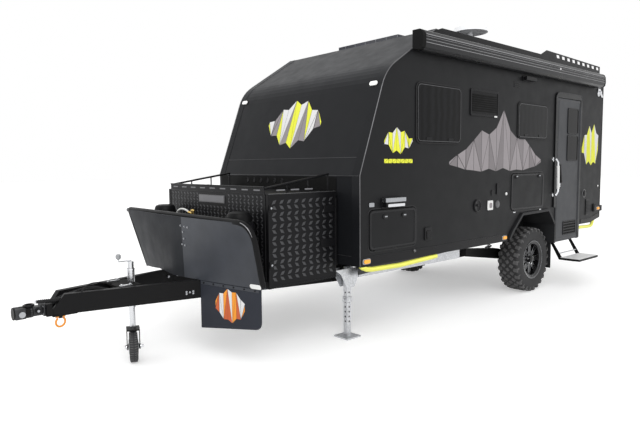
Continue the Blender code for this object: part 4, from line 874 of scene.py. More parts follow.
def make_door_details():
    """The entry door's frame, two dark panels, handle, lock and lower grille with painted shade behind it."""
    outer, inner = door_frame_outline()
    piece("door_frame", DOOR_FRAME, (prism, outer + inner, on_side(), 0.016), bevel=0.005)
    piece("door_frame_edge", TRIM_DARK, (tube, [(x, SIDE + 0.016, z) for x, z in outer], 0.003, 6))
    body = "entry_door"
    face = on_side(1, DOOR_FACE)
    piece("door_press_line", TRIM_DARK,
          (edging, (-0.450, -1.050, 0.610, 2.392), (0.0, 0.050), (-0.009, 0.041), face, 0.003),
          body=body, bevel=0.001, steps=1)
    for label, low, high in (("upper", 1.968, 2.302), ("lower", 1.620, 1.956)):
        bounds = (-0.700, -1.010, low, high)
        piece(f"door_{label}_frame", SATIN, (edging, bounds, (0.0, 0.028), (-0.016, 0.016), face, 0.010),
              body=body, bevel=0.002)
        plates(f"door_{label}_pane", DOOR_GLASS, [grown(bounds, -0.014)], 0.017, face, 0.005, body=body)
    fitting("door_handle_base", SATIN, (-0.470, -0.545, 1.270, 1.580), 0.014, 0.010, DOOR_FACE, 0.003, body)
    handle = [(-0.478, 1.560), (-0.500, 1.566), (-0.545, 1.345), (-0.522, 1.340)]
    piece("door_handle", RUBBER, (prism, handle, on_side(1, DOOR_FACE + 0.0092), 0.018), body=body,
          bevel=0.004)
    lock = [(0.0, 0.006), (0.010, 0.006), (0.013, 0.002), (0.013, 0.0), (0.0, 0.0)]
    turnings("door_locks", STEEL, lock, [(-0.507, SIDE + DOOR_FACE + 0.0097, z) for z in (1.300, 1.325)],
             Y_AXIS, 18, body=body)
    slats = [rectangle(-0.655, -0.995, 0.685 + 0.0365 * k, 0.700 + 0.0365 * k) for k in range(4)]
    piece("door_grille", SATIN,
          (edging, (-0.640, -1.010, 0.655, 0.835), (0.0, 0.014), (-0.012, 0.008), face, 0.007),
          *[(prism, slat, face, 0.005) for slat in slats], body=body, bevel=0.001, steps=1)
    # A near-black plate behind the grille's slats: painted shade in the opening
    fitting("door_grille_shade", DARK, (-0.650, -1.000, 0.660, 0.830), 0.010, 0.0012, DOOR_FACE, 0.0, body)


# Prints


def zigzag(start, step, levels, odd, even):
    """Points at equal steps and given levels, moved up by two amounts in turn."""
    return [(start + step * k, level + (odd if k % 2 else even)) for k, level in enumerate(levels)]


def facets(work, spine, heights, place, gap, turn=0, turns=1):
    """Triangles between the upper and lower edge of a band along a spine: those of one turn among several."""
    upper = [Vector((u, v + h / 2)) for (u, v), h in zip(spine, heights)]
    lower = [Vector((u, v - h / 2)) for (u, v), h in zip(spine, heights)]
    triangles = []
    for k in range(len(spine) - 1):
        if k % 2:
            triangles += [(upper[k], lower[k], lower[k + 1]), (upper[k], lower[k + 1], upper[k + 1])]
        else:
            triangles += [(upper[k], lower[k], upper[k + 1]), (lower[k], lower[k + 1], upper[k + 1])]
    for number, triangle in enumerate(triangles):
        centre = sum(triangle, Vector((0.0, 0.0))) / 3
        reach = min((corner - centre).length for corner in triangle)
        if (number * 5 + number // 3) % turns == turn and reach >= gap * 1.6:
            shrink = 1 - gap / reach * 0.9
            prism(work, [centre + (corner - centre) * shrink for corner in triangle], place, PRINT_DEPTH)


def faceted(name, spine, heights, place, gap, *finishes):
    """A faceted band whose triangles take turns among labelled finishes."""
    for turn, (label, finish) in enumerate(finishes):
        piece(f"{name}_{label}", finish, (facets, spine, heights, place, gap, turn, len(finishes)))


def make_prints():
    """Plain faceted bands on the side, at the rear corner, on the nose and near the front window."""
    levels = [1.60, 1.61, 1.64, 1.67, 1.73, 1.71, 1.75, 1.855, 1.74, 1.69, 1.71, 1.66, 1.63, 1.61]
    heights = [0.03, 0.13, 0.22, 0.33, 0.45, 0.38, 0.49, 0.66, 0.47, 0.37, 0.40, 0.28, 0.15, 0.03]
    lime, white = ("lime", LIME_PRINT), ("white", WHITE_PRINT)
    for side, name in SIDES:
        faceted(f"side_print_{name}", zigzag(1.880, -0.147, levels, 0.010, -0.005), heights,
                on_side(side, 0.0002), 0.008, ("pale", SILVER), ("dark", SILVER_DARK))
    levels = [1.790 + 0.006 * k for k in range(8)]
    heights = [0.06, 0.26, 0.42, 0.50, 0.46, 0.54, 0.44, 0.20]
    for side, name in SIDES:
        faceted(f"tail_print_{name}", zigzag(-1.170, -0.076, levels, 0.05, -0.03), heights,
                on_side(side, 0.0002), 0.007, lime, white, ("more_lime", LIME_PRINT))
    heights = [0.04, 0.20, 0.34, 0.43, 0.48, 0.47, 0.40, 0.30, 0.18, 0.04]
    faceted("nose_print", zigzag(0.42, -0.093, [0.535] * 10, 0.03, -0.03), heights, on_nose(0.0, 0.0002),
            0.008,
            lime, white, ("grey", SILVER))
    heights = [0.03, 0.12, 0.19, 0.22, 0.21, 0.16, 0.10, 0.03]
    for side, name in SIDES:
        place = on_side(side, 0.0002)
        faceted(f"crest_{name}", zigzag(2.850, -0.057, [1.800] * 8, 0.02, -0.02), heights, place, 0.006,
                lime, white)
        piece(f"crest_band_{name}", LIME_PRINT,
              (facets, zigzag(2.850, -0.057, [1.620] * 8, 0.0, 0.0), [0.040] * 8, place, 0.0035))


# Awning and roof


def awning_cap(work, rear, front):
    """A cover over one end of the awning's case, a little larger than it."""
    grow = 0.0014
    low, high = AWNING_Z
    outline = [(AWNING_INNER + 0.001, low + 0.010 - grow), (AWNING_OUTER - 0.035, low - grow),
               (AWNING_OUTER - 0.008, low + 0.018 - grow), (AWNING_OUTER + grow, low + 0.060),
               (AWNING_OUTER - 0.004 + grow, high - 0.045), (AWNING_OUTER - 0.022 + grow, high - 0.012),
               (AWNING_OUTER - 0.045, high + grow), (AWNING_INNER + 0.001, high + grow)]
    prism(work, outline, on_front(rear), front - rear)


def make_awning_details():
    """Ridges along the awning's case and a strip along its top, pale as painted highlights,
    its end caps, front bar, button and rear bracket.
    """
    rear, front = AWNING_X
    low, high = AWNING_Z
    ridges = ((high - 0.046, 0.0035), (high - 0.064, 0.0015), (high - 0.090, 0.002), (low + 0.062, 0.0025))
    # The ridges are real relief, coloured pale as painted highlights; the top strip is a painted highlight
    boxes("awning_ridge_highlights", PAINTED_HIGHLIGHT,
          *[((rear, AWNING_OUTER - 0.004, z - half), (front, AWNING_OUTER + 0.0014, z + half))
            for z, half in ridges], bevel=0.0008, steps=1)
    boxes("awning_top_highlight", PAINTED_HIGHLIGHT,
          ((rear, AWNING_OUTER - 0.070, high - 0.001), (front, AWNING_OUTER - 0.052, high + 0.0012)))
    piece("awning_end_caps", DARK, (awning_cap, front, 2.4655), (awning_cap, -1.5815, rear), bevel=0.003)
    boxes("awning_front_bar", ALLOY_BLACK,
          ((-1.540, AWNING_OUTER - 0.095, low - 0.0035), (2.410, AWNING_OUTER - 0.040, low + 0.0020)),
          bevel=0.0015)
    button("awning_button", WHITE, -0.229, 2.730, 0.014, 0.004, AWNING_OUTER - SIDE - 0.003)
    hook = [(-1.628, 2.6245), (-1.700, 2.6245), (-1.796, 2.522), (-1.788, 2.508), (-1.740, 2.512),
            (-1.694, 2.560), (-1.672, 2.520), (-1.622, 2.516), (-1.612, 2.545)]
    piece("awning_bracket", CHROME, (prism, hook, on_side(1, 0.0003), 0.012),
          (rod, (-1.690, SIDE + 0.010, 2.580), (-1.690, SIDE + 0.030, 2.580), 0.016, 18),
          (rod, (-1.650, SIDE + 0.010, 2.535), (-1.650, SIDE + 0.024, 2.535), 0.010, 16), bevel=0.002)


def slotted_sheet(loops, y):
    """The mesh of a thin upright sheet at y, cut out along all its loops but the first."""
    curve = bpy.data.curves.new("sheet", "CURVE")
    curve.dimensions = "2D"
    curve.fill_mode = "BOTH"
    curve.extrude = 0.003
    for loop in loops:
        spline = curve.splines.new("POLY")
        spline.points.add(len(loop) - 1)
        spline.use_cyclic_u = True
        for point, (u, v) in zip(spline.points, loop):
            point.co = (u, v, 0.0, 1.0)
    flat = new_object("flat", curve)
    bpy.context.view_layer.update()
    mesh = bpy.data.meshes.new_from_object(flat.evaluated_get(bpy.context.evaluated_depsgraph_get()))
    bpy.data.objects.remove(flat, do_unlink=True)
    mesh.transform(Matrix.Translation(SHIFT + Vector((0.0, y, 0.0))) @ Matrix.Rotation(math.pi / 2, 4, "X"))
    return mesh


def make_roof_plates():
    """The plates along the roof's edges, with plain slots, in place of the solid ones."""
    loops = [[(2.060, 2.8718), (1.950, 2.910), (-0.060, 2.910), (-0.200, 2.975), (-1.790, 2.945),
              (-1.790, 2.7912)]]
    for x in (-0.510 - 0.150 * k for k in range(9)):
        high = 2.928 + 0.0189 * (x + 1.790)
        low = high - 0.038
        loops.append([(x - 0.046, low), (x + 0.036, low), (x + 0.050, high), (x - 0.032, high)])
    for side, name in SIDES:
        mesh = slotted_sheet(loops, side * 1.047)
        mesh.materials.clear()
        mesh.materials.append(SATIN)
        obj = new_object(f"roof_plate_{name}", mesh)
        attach(obj, ROOT)
        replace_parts(obj, f"roof_rail_{name}")


# Drawbar, toolbox and guard


def chevron(work, centre, along, up, out, size):
    """One raised mark of the checker plate: two short lens-shaped bars that meet in a point."""
    for sign in (1, -1):
        tip = centre + along * size * 0.38 + up * sign * size * 0.06
        tail = centre - along * size * 0.32 + up * sign * size * 0.56
        across = (tail - tip).normalized().cross(out).normalized() * size * 0.20
        middle = (tip + tail) / 2
        foot = [work.verts.new(p) for p in (tip, middle + across, tail, middle - across)]
        crown = [work.verts.new(middle + (vert.co - middle) * 0.62 + out * 0.0022) for vert in foot]
        join_rings(work, foot, crown)
        work.faces.new(crown)


def chevrons(work, corner, along, out, extent, pitch, size, gap=(0, 0, 0, 0)):
    """Rows and columns of checker-plate marks on an upright face, without those in a gap."""
    along, up, out = Vector(along), Vector(Z_AXIS), Vector(out)
    columns, rows = (round(reach / step) for reach, step in zip(extent, pitch))
    for i in range(columns):
        for j in range(rows):
            u, v = extent[0] * (i + 0.5) / columns, extent[1] * (j + 0.5) / rows
            if not (gap[0] < u < gap[1] and gap[2] < v < gap[3]):
                chevron(work, Vector(corner) + along * u + up * v + out * 0.0002, along, up, out, size)


def make_toolbox_details():
    """Checker-plate marks lighter as a painted highlight, frames, latches, hinges, the blank plate,
    the tray's slots and a painted highlight along each side's top edge.
    """
    for side, name in SIDES:
        body = f"toolbox_door_{name}"
        place = on_side(side, face=TOOLBOX_HALF)
        corner = place(3.205, 0.640, 0.0002)
        marks = (chevrons, corner, X_AXIS, (0, side, 0), (0.700, 0.680), (0.078, 0.095), 0.072)
        piece(f"toolbox_marks_{name}", LUG_HIGHLIGHT, marks, body=body, smooth=20)
        piece(f"toolbox_door_rim_{name}", SATIN,
              (edging, (3.929, 3.187, 0.594, 1.358), (0.0, 0.004), (-0.012, 0.004), place, 0.0024, 1),
              body=body, bevel=0.0006, steps=1)
        hinges = [(3.200, 3.330, 1.180, 1.244), (3.200, 3.366, 0.878, 0.951)]
        plates(f"toolbox_hinges_{name}", SATIN, hinges, 0.010, place, 0.010, body=body, bevel=0.003)
        latches = [(3.884, 3.924, 1.224, 1.272), (3.884, 3.924, 0.759, 0.817)]
        plates(f"toolbox_latches_{name}", SATIN, latches, 0.008, place, 0.010, body=body, bevel=0.002)
        keys = [(place(3.904, z, 0.0095), place(3.904, z, 0.0125), 0.009, 14) for z in (1.248, 0.788)]
        rods(f"toolbox_latch_keys_{name}", MACHINED, *keys, body=body)
        # A pale tube along each side's top edge: a painted highlight
        piece(f"toolbox_top_edge_highlight_{name}", TRIM_GREY,
              (tube, [place(3.192, 1.3605, 0.001), place(3.926, 1.3605, 0.001)], 0.0028, 8))
    front = TOOLBOX_FRONT
    corner, room = (front, -0.770, 0.680), (0.510, 1.000, 0.553, 0.677)
    marks = (chevrons, corner, Y_AXIS, X_AXIS, (1.540, 0.665), (0.060, 0.056), 0.048, room)
    piece("toolbox_front_marks", LUG_HIGHLIGHT, marks, smooth=20)
    boxes("name_plate_blank", TRIM_GREY, ((front + 0.0002, -0.233, 1.260), (front + 0.005, 0.202, 1.329)),
          bevel=0.0015)
    plates("name_plate_field", PLATE_GREY, [(-0.222, 0.191, 1.268, 1.321)], 0.006, on_front(front + 0.0048),
           0.0012)
    slots = [around(-0.680 + 0.170 * k, 1.3895, 0.045, 0.0055) for k in range(9)]
    plates("tray_slots", PLATE_GREY, slots, 0.005, on_front(front + 0.0001), 0.0012)
    slots = [around(3.800 - 0.150 * k, 1.3895, 0.045, 0.0055) for k in range(3)]
    sides = [on_side(side, -0.0005, TOOLBOX_HALF) for side, _ in SIDES]
    side_slots = [(plate, slot, 0.005, place, 0.0017) for place in sides for slot in slots]
    piece("tray_side_slots", PLATE_GREY, *side_slots)
    edges = [((-0.780, 1.4165), (0.780, 1.4165), 0.005), ((-0.790, 1.359), (0.790, 1.359), 0.004)]
    edges += [((y, 0.664), (y, 1.357), 0.004) for y in (-0.790, 0.790)]
    piece("toolbox_edges", ALLOY_BLACK,
          *[(tube, [(front + 0.001, *start), (front + 0.001, *end)], radius, 8) for start, end,
            radius in edges])


def make_cord(name, finish, diameter, points):
    """A cable or hose between two fittings."""
    path = smooth_path(points, 6)
    made = piece(name, finish, (tube, path, diameter / 2, 16))


def bolt(work, foot, out, radius, sides, start):
    """A bolt's washer and its six-sided head."""
    rod(work, foot, foot + out * 0.003, radius, sides)
    rod(work, foot + out * start, foot + out * 0.007, 0.0055, 6)


def make_drawbar_bolts():
    """Bolts through both rails, which spread apart towards the rear."""
    spread = 0.235
    heads, inner = [], []
    for side, _ in SIDES:
        out = Vector((spread, side, 0.0)).normalized()
        rail = lambda x, z, inset=0.0: Vector((x, side * (0.100 + spread * (5.270 - x) - inset), z))
        for x, z in ((4.384, 0.562), (4.384, 0.545), (4.330, 0.562), (4.330, 0.545), (4.357, 0.556)):
            heads.append((bolt, rail(x, z), out, 0.0080, 16, 0.002))
        for foot in (rail(x, 0.585, 0.052) for x in (4.240, 4.140, 4.020)):
            inner.append((foot, foot - out * 0.012, 0.012, 6))
    piece("drawbar_bolts", MACHINED, *heads)
    rods("drawbar_inner_bolts", MACHINED, *inner)


def make_drawbar_cords():
    """The brake cable, the electric lead and the handbrake's bowed cable."""
    make_cord("brake_cable", RUBBER, 0.012, [
        (5.3545, 0.045, 0.580), (5.280, 0.050, 0.606), (5.200, 0.052, 0.640), (5.120, 0.056, 0.666),
        (5.050, 0.068, 0.670), (4.980, 0.085, 0.650), (4.910, 0.098, 0.618), (4.841, 0.105, 0.602)])
    make_cord("lead_cable", RUBBER, 0.012, [
        (5.3545, -0.045, 0.580), (5.260, -0.032, 0.612), (5.150, -0.028, 0.636), (5.020, -0.045, 0.634),
        (4.900, -0.080, 0.610), (4.841, -0.098, 0.600)])
    make_cord("safety_cable", RUBBER, 0.010, [
        (5.150, 0.106, 0.6495), (5.118, 0.094, 0.678), (5.066, 0.066, 0.694), (5.000, 0.028, 0.688),
        (4.935, -0.006, 0.672), (4.880, -0.030, 0.656), (4.836, -0.046, 0.640)])


def make_drawbar_details():
    """Bolts, the handbrake lever, cables, the deck with its clamp bars, the tip's lower plate and shackle."""
    make_drawbar_bolts()
    grip = smooth_path([(5.456, 0.055, 0.616), (5.390, 0.055, 0.610), (5.290, 0.055, 0.606)])
    ribs = [(5.300 + 0.0135 * k, 0.055, 0.6065 + (0.010 + 0.0135 * k) * 0.05) for k in range(11)]
    piece("handbrake_lever", RUBBER, (tube, grip, 0.012, 14),
          *[(ring, rib, (1, 0, 0.05), 0.0115, 0.0045, 16) for rib in ribs],
          (box, (5.252, 0.040, 0.560), (5.300, 0.068, 0.622)))
    arm = smooth_path([(5.395, 0.020, 0.586), (5.330, 0.016, 0.594), (5.250, 0.012, 0.597)])
    piece("handbrake_tip", STEEL, (rod, (5.452, 0.055, 0.6155), (5.466, 0.055, 0.6170), 0.0095, 14),
          (tube, arm, 0.008, 12))
    make_drawbar_cords()
    boxes("jockey_deck", DARK, ((4.690, -0.150, 0.6352), (4.876, 0.150, 0.6500)), bevel=0.002)
    piece("jockey_clamp_bars", STEEL,
          *[(box, (4.768, y - 0.008, 0.6498), (4.872, y + 0.008, 0.6610)) for y in (-0.106, 0.142)],
          *[(rod, (x, y, 0.6605), (x, y, 0.6700), 0.010, 6) for y in (-0.106, 0.142)
            for x in (4.785, 4.855)],
          (box, (4.786, 0.100, 0.6498), (4.858, 0.112, 0.6560)), bevel=0.002)
    boxes("drawbar_tip_plate", BLACK, ((5.180, -0.096, 0.4900), (5.3548, 0.096, 0.4998)), bevel=0.002)
    centre = Vector((5.300, 0.078, 0.452))
    angles = [math.radians(-232 + 284 * k / 16) for k in range(17)]
    bow = [centre + Vector((0.033 * math.cos(a), 0.010 * math.sin(a), 0.038 * math.sin(a) - 0.008))
           for a in angles]
    ends = [centre + Vector((x, 0.004, 0.034)) for x in (-0.033, 0.033)]
    piece("shackle", ORANGE, (tube, bow, 0.0075, 10), (rod, *ends, 0.0085, 12))
    boxes("shackle_lug", BLACK, ((5.288, 0.062, 0.474), (5.312, 0.094, 0.4905)), bevel=0.002)


def make_hitch():
    """The off-road hitch: a yoke round the ball block, a vertical ring and the silver end of its pin."""
    barrel = [(0.0, 0.128), (0.036, 0.128), (0.0449, 0.120), (0.0449, 0.085), (0.038, 0.075),
              (0.038, 0.030),
              (0.0449, 0.020), (0.0449, 0.002), (0.0, 0.002)]
    piece("hitch_body", HITCH_GREY, (turned, barrel, (5.4705, 0.0, 0.540), X_AXIS, 32),
          (box, (5.400, -0.034, 0.506), (5.480, 0.034, 0.574)),
          (box, (5.3955, -0.072, 0.503), (5.409, 0.072, 0.592)),
          (box, (5.520, -0.046, 0.500), (5.592, 0.046, 0.580)), bevel=0.006)
    piece("hitch_ring", SATIN, (ring, (5.492, 0.0, 0.586), (0.05, 0.0, 1.0), 0.032, 0.009, 28),
          (rod, (5.492, 0.0, 0.570), (5.492, 0.0, 0.584), 0.024, 20),
          (rod, (5.440, -0.052, 0.545), (5.440, 0.052, 0.545), 0.018, 18))
    rods("hitch_pin", MACHINED, ((5.548, 0.045, 0.535), (5.548, 0.0535, 0.535), 0.022, 24),
         ((5.440, 0.051, 0.545), (5.440, 0.058, 0.545), 0.010, 6),
         *[((5.402, y, z), (5.413, y, z), 0.009, 6) for y in (0.055, -0.055) for z in (0.575, 0.520)])


def on_wheel(reach, angle, across):
    """A point at an angle round an axle along y."""
    return Vector((reach * math.cos(angle), across, reach * math.sin(angle)))


def jockey_rib(work, middle, turn, angle, way):
    """One slanting rib of the jockey wheel's tread, on one side of its middle."""
    rings = []
    for reach, low, high in ((0.1215, 0.004, 0.030), (0.1249, 0.005, 0.024)):
        corners = ((low, -0.034), (high, 0.006), (high, 0.056), (low, 0.016))
        rings.append([work.verts.new(middle + turn @ on_wheel(reach, angle + swing, across * way))
                      for across, swing in corners])
    join_rings(work, *rings)
    work.faces.new(rings[1])


def make_jockey_details():
    """Crank grip, sleeve cap and clamp rings, axle nuts and the jockey wheel's tread and hub."""
    grip = [(0.0, 0.056), (0.012, 0.055), (0.019, 0.048), (0.021, 0.034), (0.019, 0.020), (0.009, 0.012),
            (0.0, 0.012)]
    turnings("crank_grip", CRANK_GREY, grip, [(4.815, 0.0, 0.832)], Z_AXIS, 20, body="jockey_leg")
    centres = [(4.715, 0.0, 0.470), (4.715, 0.0, 0.755)]
    turnings("jockey_clamp_rings", STEEL, band(0.0303, 0.0315, 0.006), centres, Z_AXIS, 24)
    cap = [(0.0, 0.010), (0.014, 0.009), (0.0245, 0.003), (0.0250, -0.008), (0.0, -0.008)]
    turnings("jockey_leg_cap", STEEL, cap, [(4.715, 0.0, 0.812)], Z_AXIS, 24, body="jockey_leg")
    axle = Vector((-0.927184, 0.374607, 0.0))
    middle = Vector((4.737476, 0.055631, 0.125))
    along = lambda reach: middle + axle * reach
    washers = [(along(0.0522 * way), along(0.060 * way), 0.018, 20) for way in (1, -1)]
    nuts = [(along(0.059), along(0.078), 0.013, 6), (along(-0.059), along(-0.068), 0.013, 6)]
    rods("jockey_axle_nuts", STEEL, *washers, *nuts, body="jockey_fork")
    hub = [(0.062, 0.001), (0.060, 0.004), (0.030, 0.006), (0.018, 0.012), (0.010, 0.012), (0.010, 0.0),
           (0.062, 0.0)]
    hubs = [(turned, hub, along(0.0326 * way), axle * way, 28) for way in (1, -1)]
    piece("jockey_wheel_hub", CRANK_GREY, *hubs, body="jockey_wheel")
    turn = axle.to_track_quat("Y", "Z").to_matrix()
    ribs = [(jockey_rib, middle, turn, angle, way) for angle in circle(40) for way in (1, -1)]
    # The ribs are in the lighter tread rubber: painted light on the jockey wheel's tread
    piece("jockey_wheel_ribs", LIT_TREAD, *ribs, body="jockey_wheel", smooth=20)


def guard_x(y, z):
    """The guard sheet's middle, bowed back along its top and swept back along its bottom."""
    share = (GUARD_TOP - z) / (GUARD_TOP - GUARD_LOW)
    part = abs(y) / GUARD_HALF
    return 4.325 - 0.070 * part ** 2 - share * 0.150 * part


def guard_edge():
    """(y, z) up the guard's far side, over its top and down its near side."""
    corners = [Vector(c) for c in ((-0.980, 0.585), (-1.065, GUARD_TOP), (1.045, GUARD_TOP),
                                   (1.000, 0.664))]
    far_low, far_high, near_high, near_low = corners
    path = [far_low] + eased(far_low, far_high, near_high, 0.050, 5)
    path += eased(far_high, near_high, near_low, 0.170, 10) + [near_low]
    return [(point.x, point.y) for point in path]


def guard_face(work, near):
    """A smooth skin just in front of the guard's sheet, on one side of its seam."""
    outline = guard_edge() + [(0.995, 0.6535), (-0.382, 0.6535)]
    work.faces.new([work.verts.new((0.0, y, z)) for y, z in outline])
    cuts = [((0.0, -1.0 + 0.05 * k, 0.0), Y_AXIS) for k in range(41)]
    cuts += [((0.0, 0.0, 0.62 + 0.06 * k), Z_AXIS) for k in range(9)]
    for place, normal in cuts:
        geometry = work.verts[:] + work.edges[:] + work.faces[:]
        bmesh.ops.bisect_plane(work, geom=geometry, dist=0.00001, plane_co=place, plane_no=normal)
    unwanted = [face for face in work.faces if (face.calc_center_median().y > 0.150) != near]
    bmesh.ops.delete(work, geom=unwanted, context="FACES")
    for vert in work.verts:
        vert.co.x = guard_x(vert.co.y, vert.co.z) + 0.0085


def guard_place(y, z):
    """Places (across, up, depth) on the front of the guard's sheet near a point."""
    spot = lambda y, z: Vector((guard_x(y, z), y, z))
    here = spot(y, z) + Vector((0.0087, 0.0, 0.0))
    across = (spot(y + 0.01, z) - spot(y, z)).normalized()
    up = (spot(y, z + 0.01) - spot(y, z)).normalized()
    out = across.cross(up).normalized()
    return lambda u, v, depth: here + across * u + up * v + out * depth


def make_guard_details():
    """The guard's smooth face, its far half in painted shade and its near half in a painted reflection,
    its dark rim with a painted highlight, its reflector, bolts and a pale cap at its far top corner.
    """
    # The near half in the lighter, bluer sheet as a painted reflection, the far half in its darker copy as
    # painted shade
    piece("guard_face_near_lit", GUARD, (guard_face, True), smooth=25)
    piece("guard_face_far_shaded", GUARD_FAR_SHADED, (guard_face, False), smooth=25)
    edge = guard_edge()
    piece("guard_rim", BLACK, (tube, [(guard_x(y, z) - 0.012, y, z) for y, z in edge], 0.0230, 16))
    # A thin pale line along the rim's near corner: a painted highlight
    highlight_line = [(guard_x(y, z) + 0.0075, y + 0.009, z + 0.009) for y, z in edge[9:-1]]
    piece("guard_rim_highlight", PAINTED_HIGHLIGHT, (tube, highlight_line, 0.0032, 8))
    plates("guard_reflector", WHITE, [around(0.0, 0.0, 0.056, 0.019)], 0.018, guard_place(0.950, 0.668),
           0.004,
           bevel=0.0015)
    bolts = []
    for place in (guard_place(*spot) for spot in GUARD_BOLTS):
        foot = place(0.0, 0.0, 0.0)
        bolts.append((bolt, foot, (place(0.0, 0.0, 1.0) - foot).normalized(), 0.0085, 14, 0.0025))
    piece("guard_bolts", MACHINED, *bolts)
    corner = guard_place(-1.045, 1.158)(0.0, 0.0, 0.0)
    piece("guard_end_cap", TRIM_GREY, (ball, corner, 0.022, (0.8, 1.1, 0.9)))


def make_flap_details():
    """The flap's top strip with its screws, and a plain faceted print in place of the badge."""
    first, last = (Vector((guard_x(y, GUARD_LOW), y, 0.0)) for y in FLAP_SPAN)
    across = (last - first).normalized()
    out = Vector((across.y, -across.x, 0.0))
    place = lambda u, v, depth: first + across * u + Vector((0, 0, v)) + out * (0.0032 + depth)
    piece("flap_strip", GUARD, (prism, rectangle(0.012, 0.645, 0.620, 0.646), place, 0.004), bevel=0.001)
    feet = [place(0.045 + 0.112 * k, 0.633, 0.0035) for k in range(6)]
    rods("flap_screws", SATIN, *[(foot, foot + out * 0.005, 0.007, 12) for foot in feet])
    faceted("flap_print", zigzag(0.168, 0.047, [0.478] * 8, 0.012, -0.012),
            [0.06, 0.17, 0.22, 0.26, 0.26, 0.22, 0.17, 0.06], place, 0.006, ("orange", ORANGE),
            ("white", WHITE_PRINT), ("rust", RED_ORANGE))


def make_bottle_details():
    """The bottle covers' seams and caps, and the brass tap with its white hose between them."""
    cap = [(0.0, 0.102), (0.062, 0.100), (0.086, 0.090), (0.097, 0.072), (0.101, 0.040), (0.101, 0.0),
           (0.0, 0.0)]
    for number, y in enumerate((0.620, -0.650)):
        turnings(f"bottle_cover_seam_{number}", SATIN, band(0.1301, 0.1316, 0.006), [(4.066, y, 1.060)],
                 Z_AXIS, 40)
        turnings(f"bottle_cap_{number}", BLACK, cap, [(4.066, y, 1.120)], Z_AXIS, 40)
    piece("tap_brass", BRASS, (rod, (4.070, -0.110, 0.6650), (4.070, -0.110, 1.120), 0.011, 14),
          (rod, (4.070, -0.110, 1.118), (4.070, -0.110, 1.152), 0.021, 6),
          (rod, (4.070, -0.110, 1.150), (4.070, -0.110, 1.186), 0.015, 16),
          (rod, (4.070, -0.110, 1.160), (4.082, -0.165, 1.172), 0.014, 14),
          (ball, (4.074, -0.106, 1.190), 0.020, (1.0, 1.2, 0.7)))
    rods("tap_valve", STEEL, ((4.070, -0.070, 1.128), (4.070, -0.010, 1.140), 0.020, 18),
         ((4.070, -0.108, 1.126), (4.070, -0.070, 1.128), 0.011, 14))
    make_cord("gas_hose", HOSE, 0.018, [
        (4.082, -0.160, 1.172), (4.095, -0.200, 1.194), (4.100, -0.265, 1.198), (4.100, -0.330, 1.176),
        (4.095, -0.370, 1.127), (4.085, -0.385, 1.050), (4.060, -0.388, 0.900), (4.030, -0.388, 0.6655)])


# Running gear

WHEEL_TURNINGS = [
    # label, finish, distance from the centre plane, sides, profile
    ("cap", RIM, 1.022, 28, [(0.0, 0.016), (0.020, 0.014), (0.032, 0.006), (0.036, 0.0), (0.0, 0.0)]),
    ("lip", LIP_DARK, 1.0165, 64, [(0.2050, 0.012), (0.2060, 0.004), (0.2050, 0.0), (0.1950, -0.004),
                                   (0.1930, 0.002), (0.1960, 0.010), (0.2050, 0.012)]),
    ("flange", RIM, 1.0165, 64, [(0.2330, 0.0215), (0.2345, 0.0170), (0.2100, 0.0040), (0.2052, 0.0040),
                                 (0.2055, 0.0130), (0.2130, 0.0190), (0.2330, 0.0215)]),
    ("bead", MACHINED, 1.0165, 64, [(0.2350, 0.0225), (0.2360, 0.0195), (0.2325, 0.0195), (0.2325, 0.0220),
                                    (0.2350, 0.0225)]),
]
TREAD_ROWS = [
    # along the width, half width, half length, turn in degrees, phase
    (-0.104, 0.027, 0.022, 12, 0.0),
    (-0.049, 0.023, 0.018, -30, 0.5),
    (0.000, 0.018, 0.021, 30, 0.0),
    (0.049, 0.023, 0.018, -30, 0.5),
    (0.104, 0.027, 0.022, -12, 0.0),
]
LUGS_ROUND = 26
TREAD_FLOOR = AXLE_Z - 0.013
SIDEWALL = [(0.2058, 0.74), (0.2120, 0.86), (0.2300, 0.93), (0.2340, 0.90), (0.2500, 0.965),
            (0.2900, 0.990),
            (0.3300, 0.985), (0.3550, 0.955), (TREAD_FLOOR - 0.012, 0.915), (TREAD_FLOOR, 0.82)]


def make_wheel_details():
    """Wheel nuts, centre cap, lip, bead ring and the machined edges of the spokes."""
    for side, name in SIDES:
        body = f"wheel_{name}"
        axle = Vector((0.0, 0.0, AXLE_Z))
        nuts = [[axle + on_wheel(0.056, math.radians(15 + 60 * k), side * y) for y in (0.994, 1.012)]
                for k in range(6)]
        rods(f"wheel_nuts_{name}", CHROME, *[(*nut, 0.0105, 6) for nut in nuts], body=body)
        for label, finish, y, sides, profile in WHEEL_TURNINGS:
            turnings(f"wheel_{label}_{name}", finish, profile, [(0.0, side * y, AXLE_Z)], (0, side, 0),
                     sides,
                     body=body)
        turns = [Matrix.Translation(axle) @ Matrix.Rotation(angle, 4, "Y") for angle in circle(8)]
        piece(f"spoke_edges_{name}", MACHINED,
              *[(box, (0.068, side * 0.9868, z - 0.00175), (0.188, side * 0.9908, z + 0.00175), turn)
                for turn in turns for z in (0.02576, -0.02576)], body=body)


def tread_block(work, middle, angle, along, half_width, half_length, turn):
    """One tread block, a little narrower at its top, bent to the tyre's curve."""
    cos, sin = math.cos(turn), math.sin(turn)
    high = AXLE_Z - 0.0006
    rings = []
    for reach, share in ((TREAD_FLOOR - 0.003, 1.08), (high, 0.90)):
        corners = []
        for a, b in ((-1, -1), (1, -1), (1, 1), (-1, 1)):
            u, v = a * half_width * share, b * half_length * share
            across = along + u * cos - v * sin
            crown = reach - 0.252 * max(0.0, abs(across) - 0.100)
            across = max(-0.1325, min(0.1325, across))
            spot = on_wheel(crown, angle + (u * sin + v * cos) / high, across)
            corners.append(work.verts.new(middle + spot))
        rings.append(corners)
    join_rings(work, *rings)
    work.faces.new(rings[1])


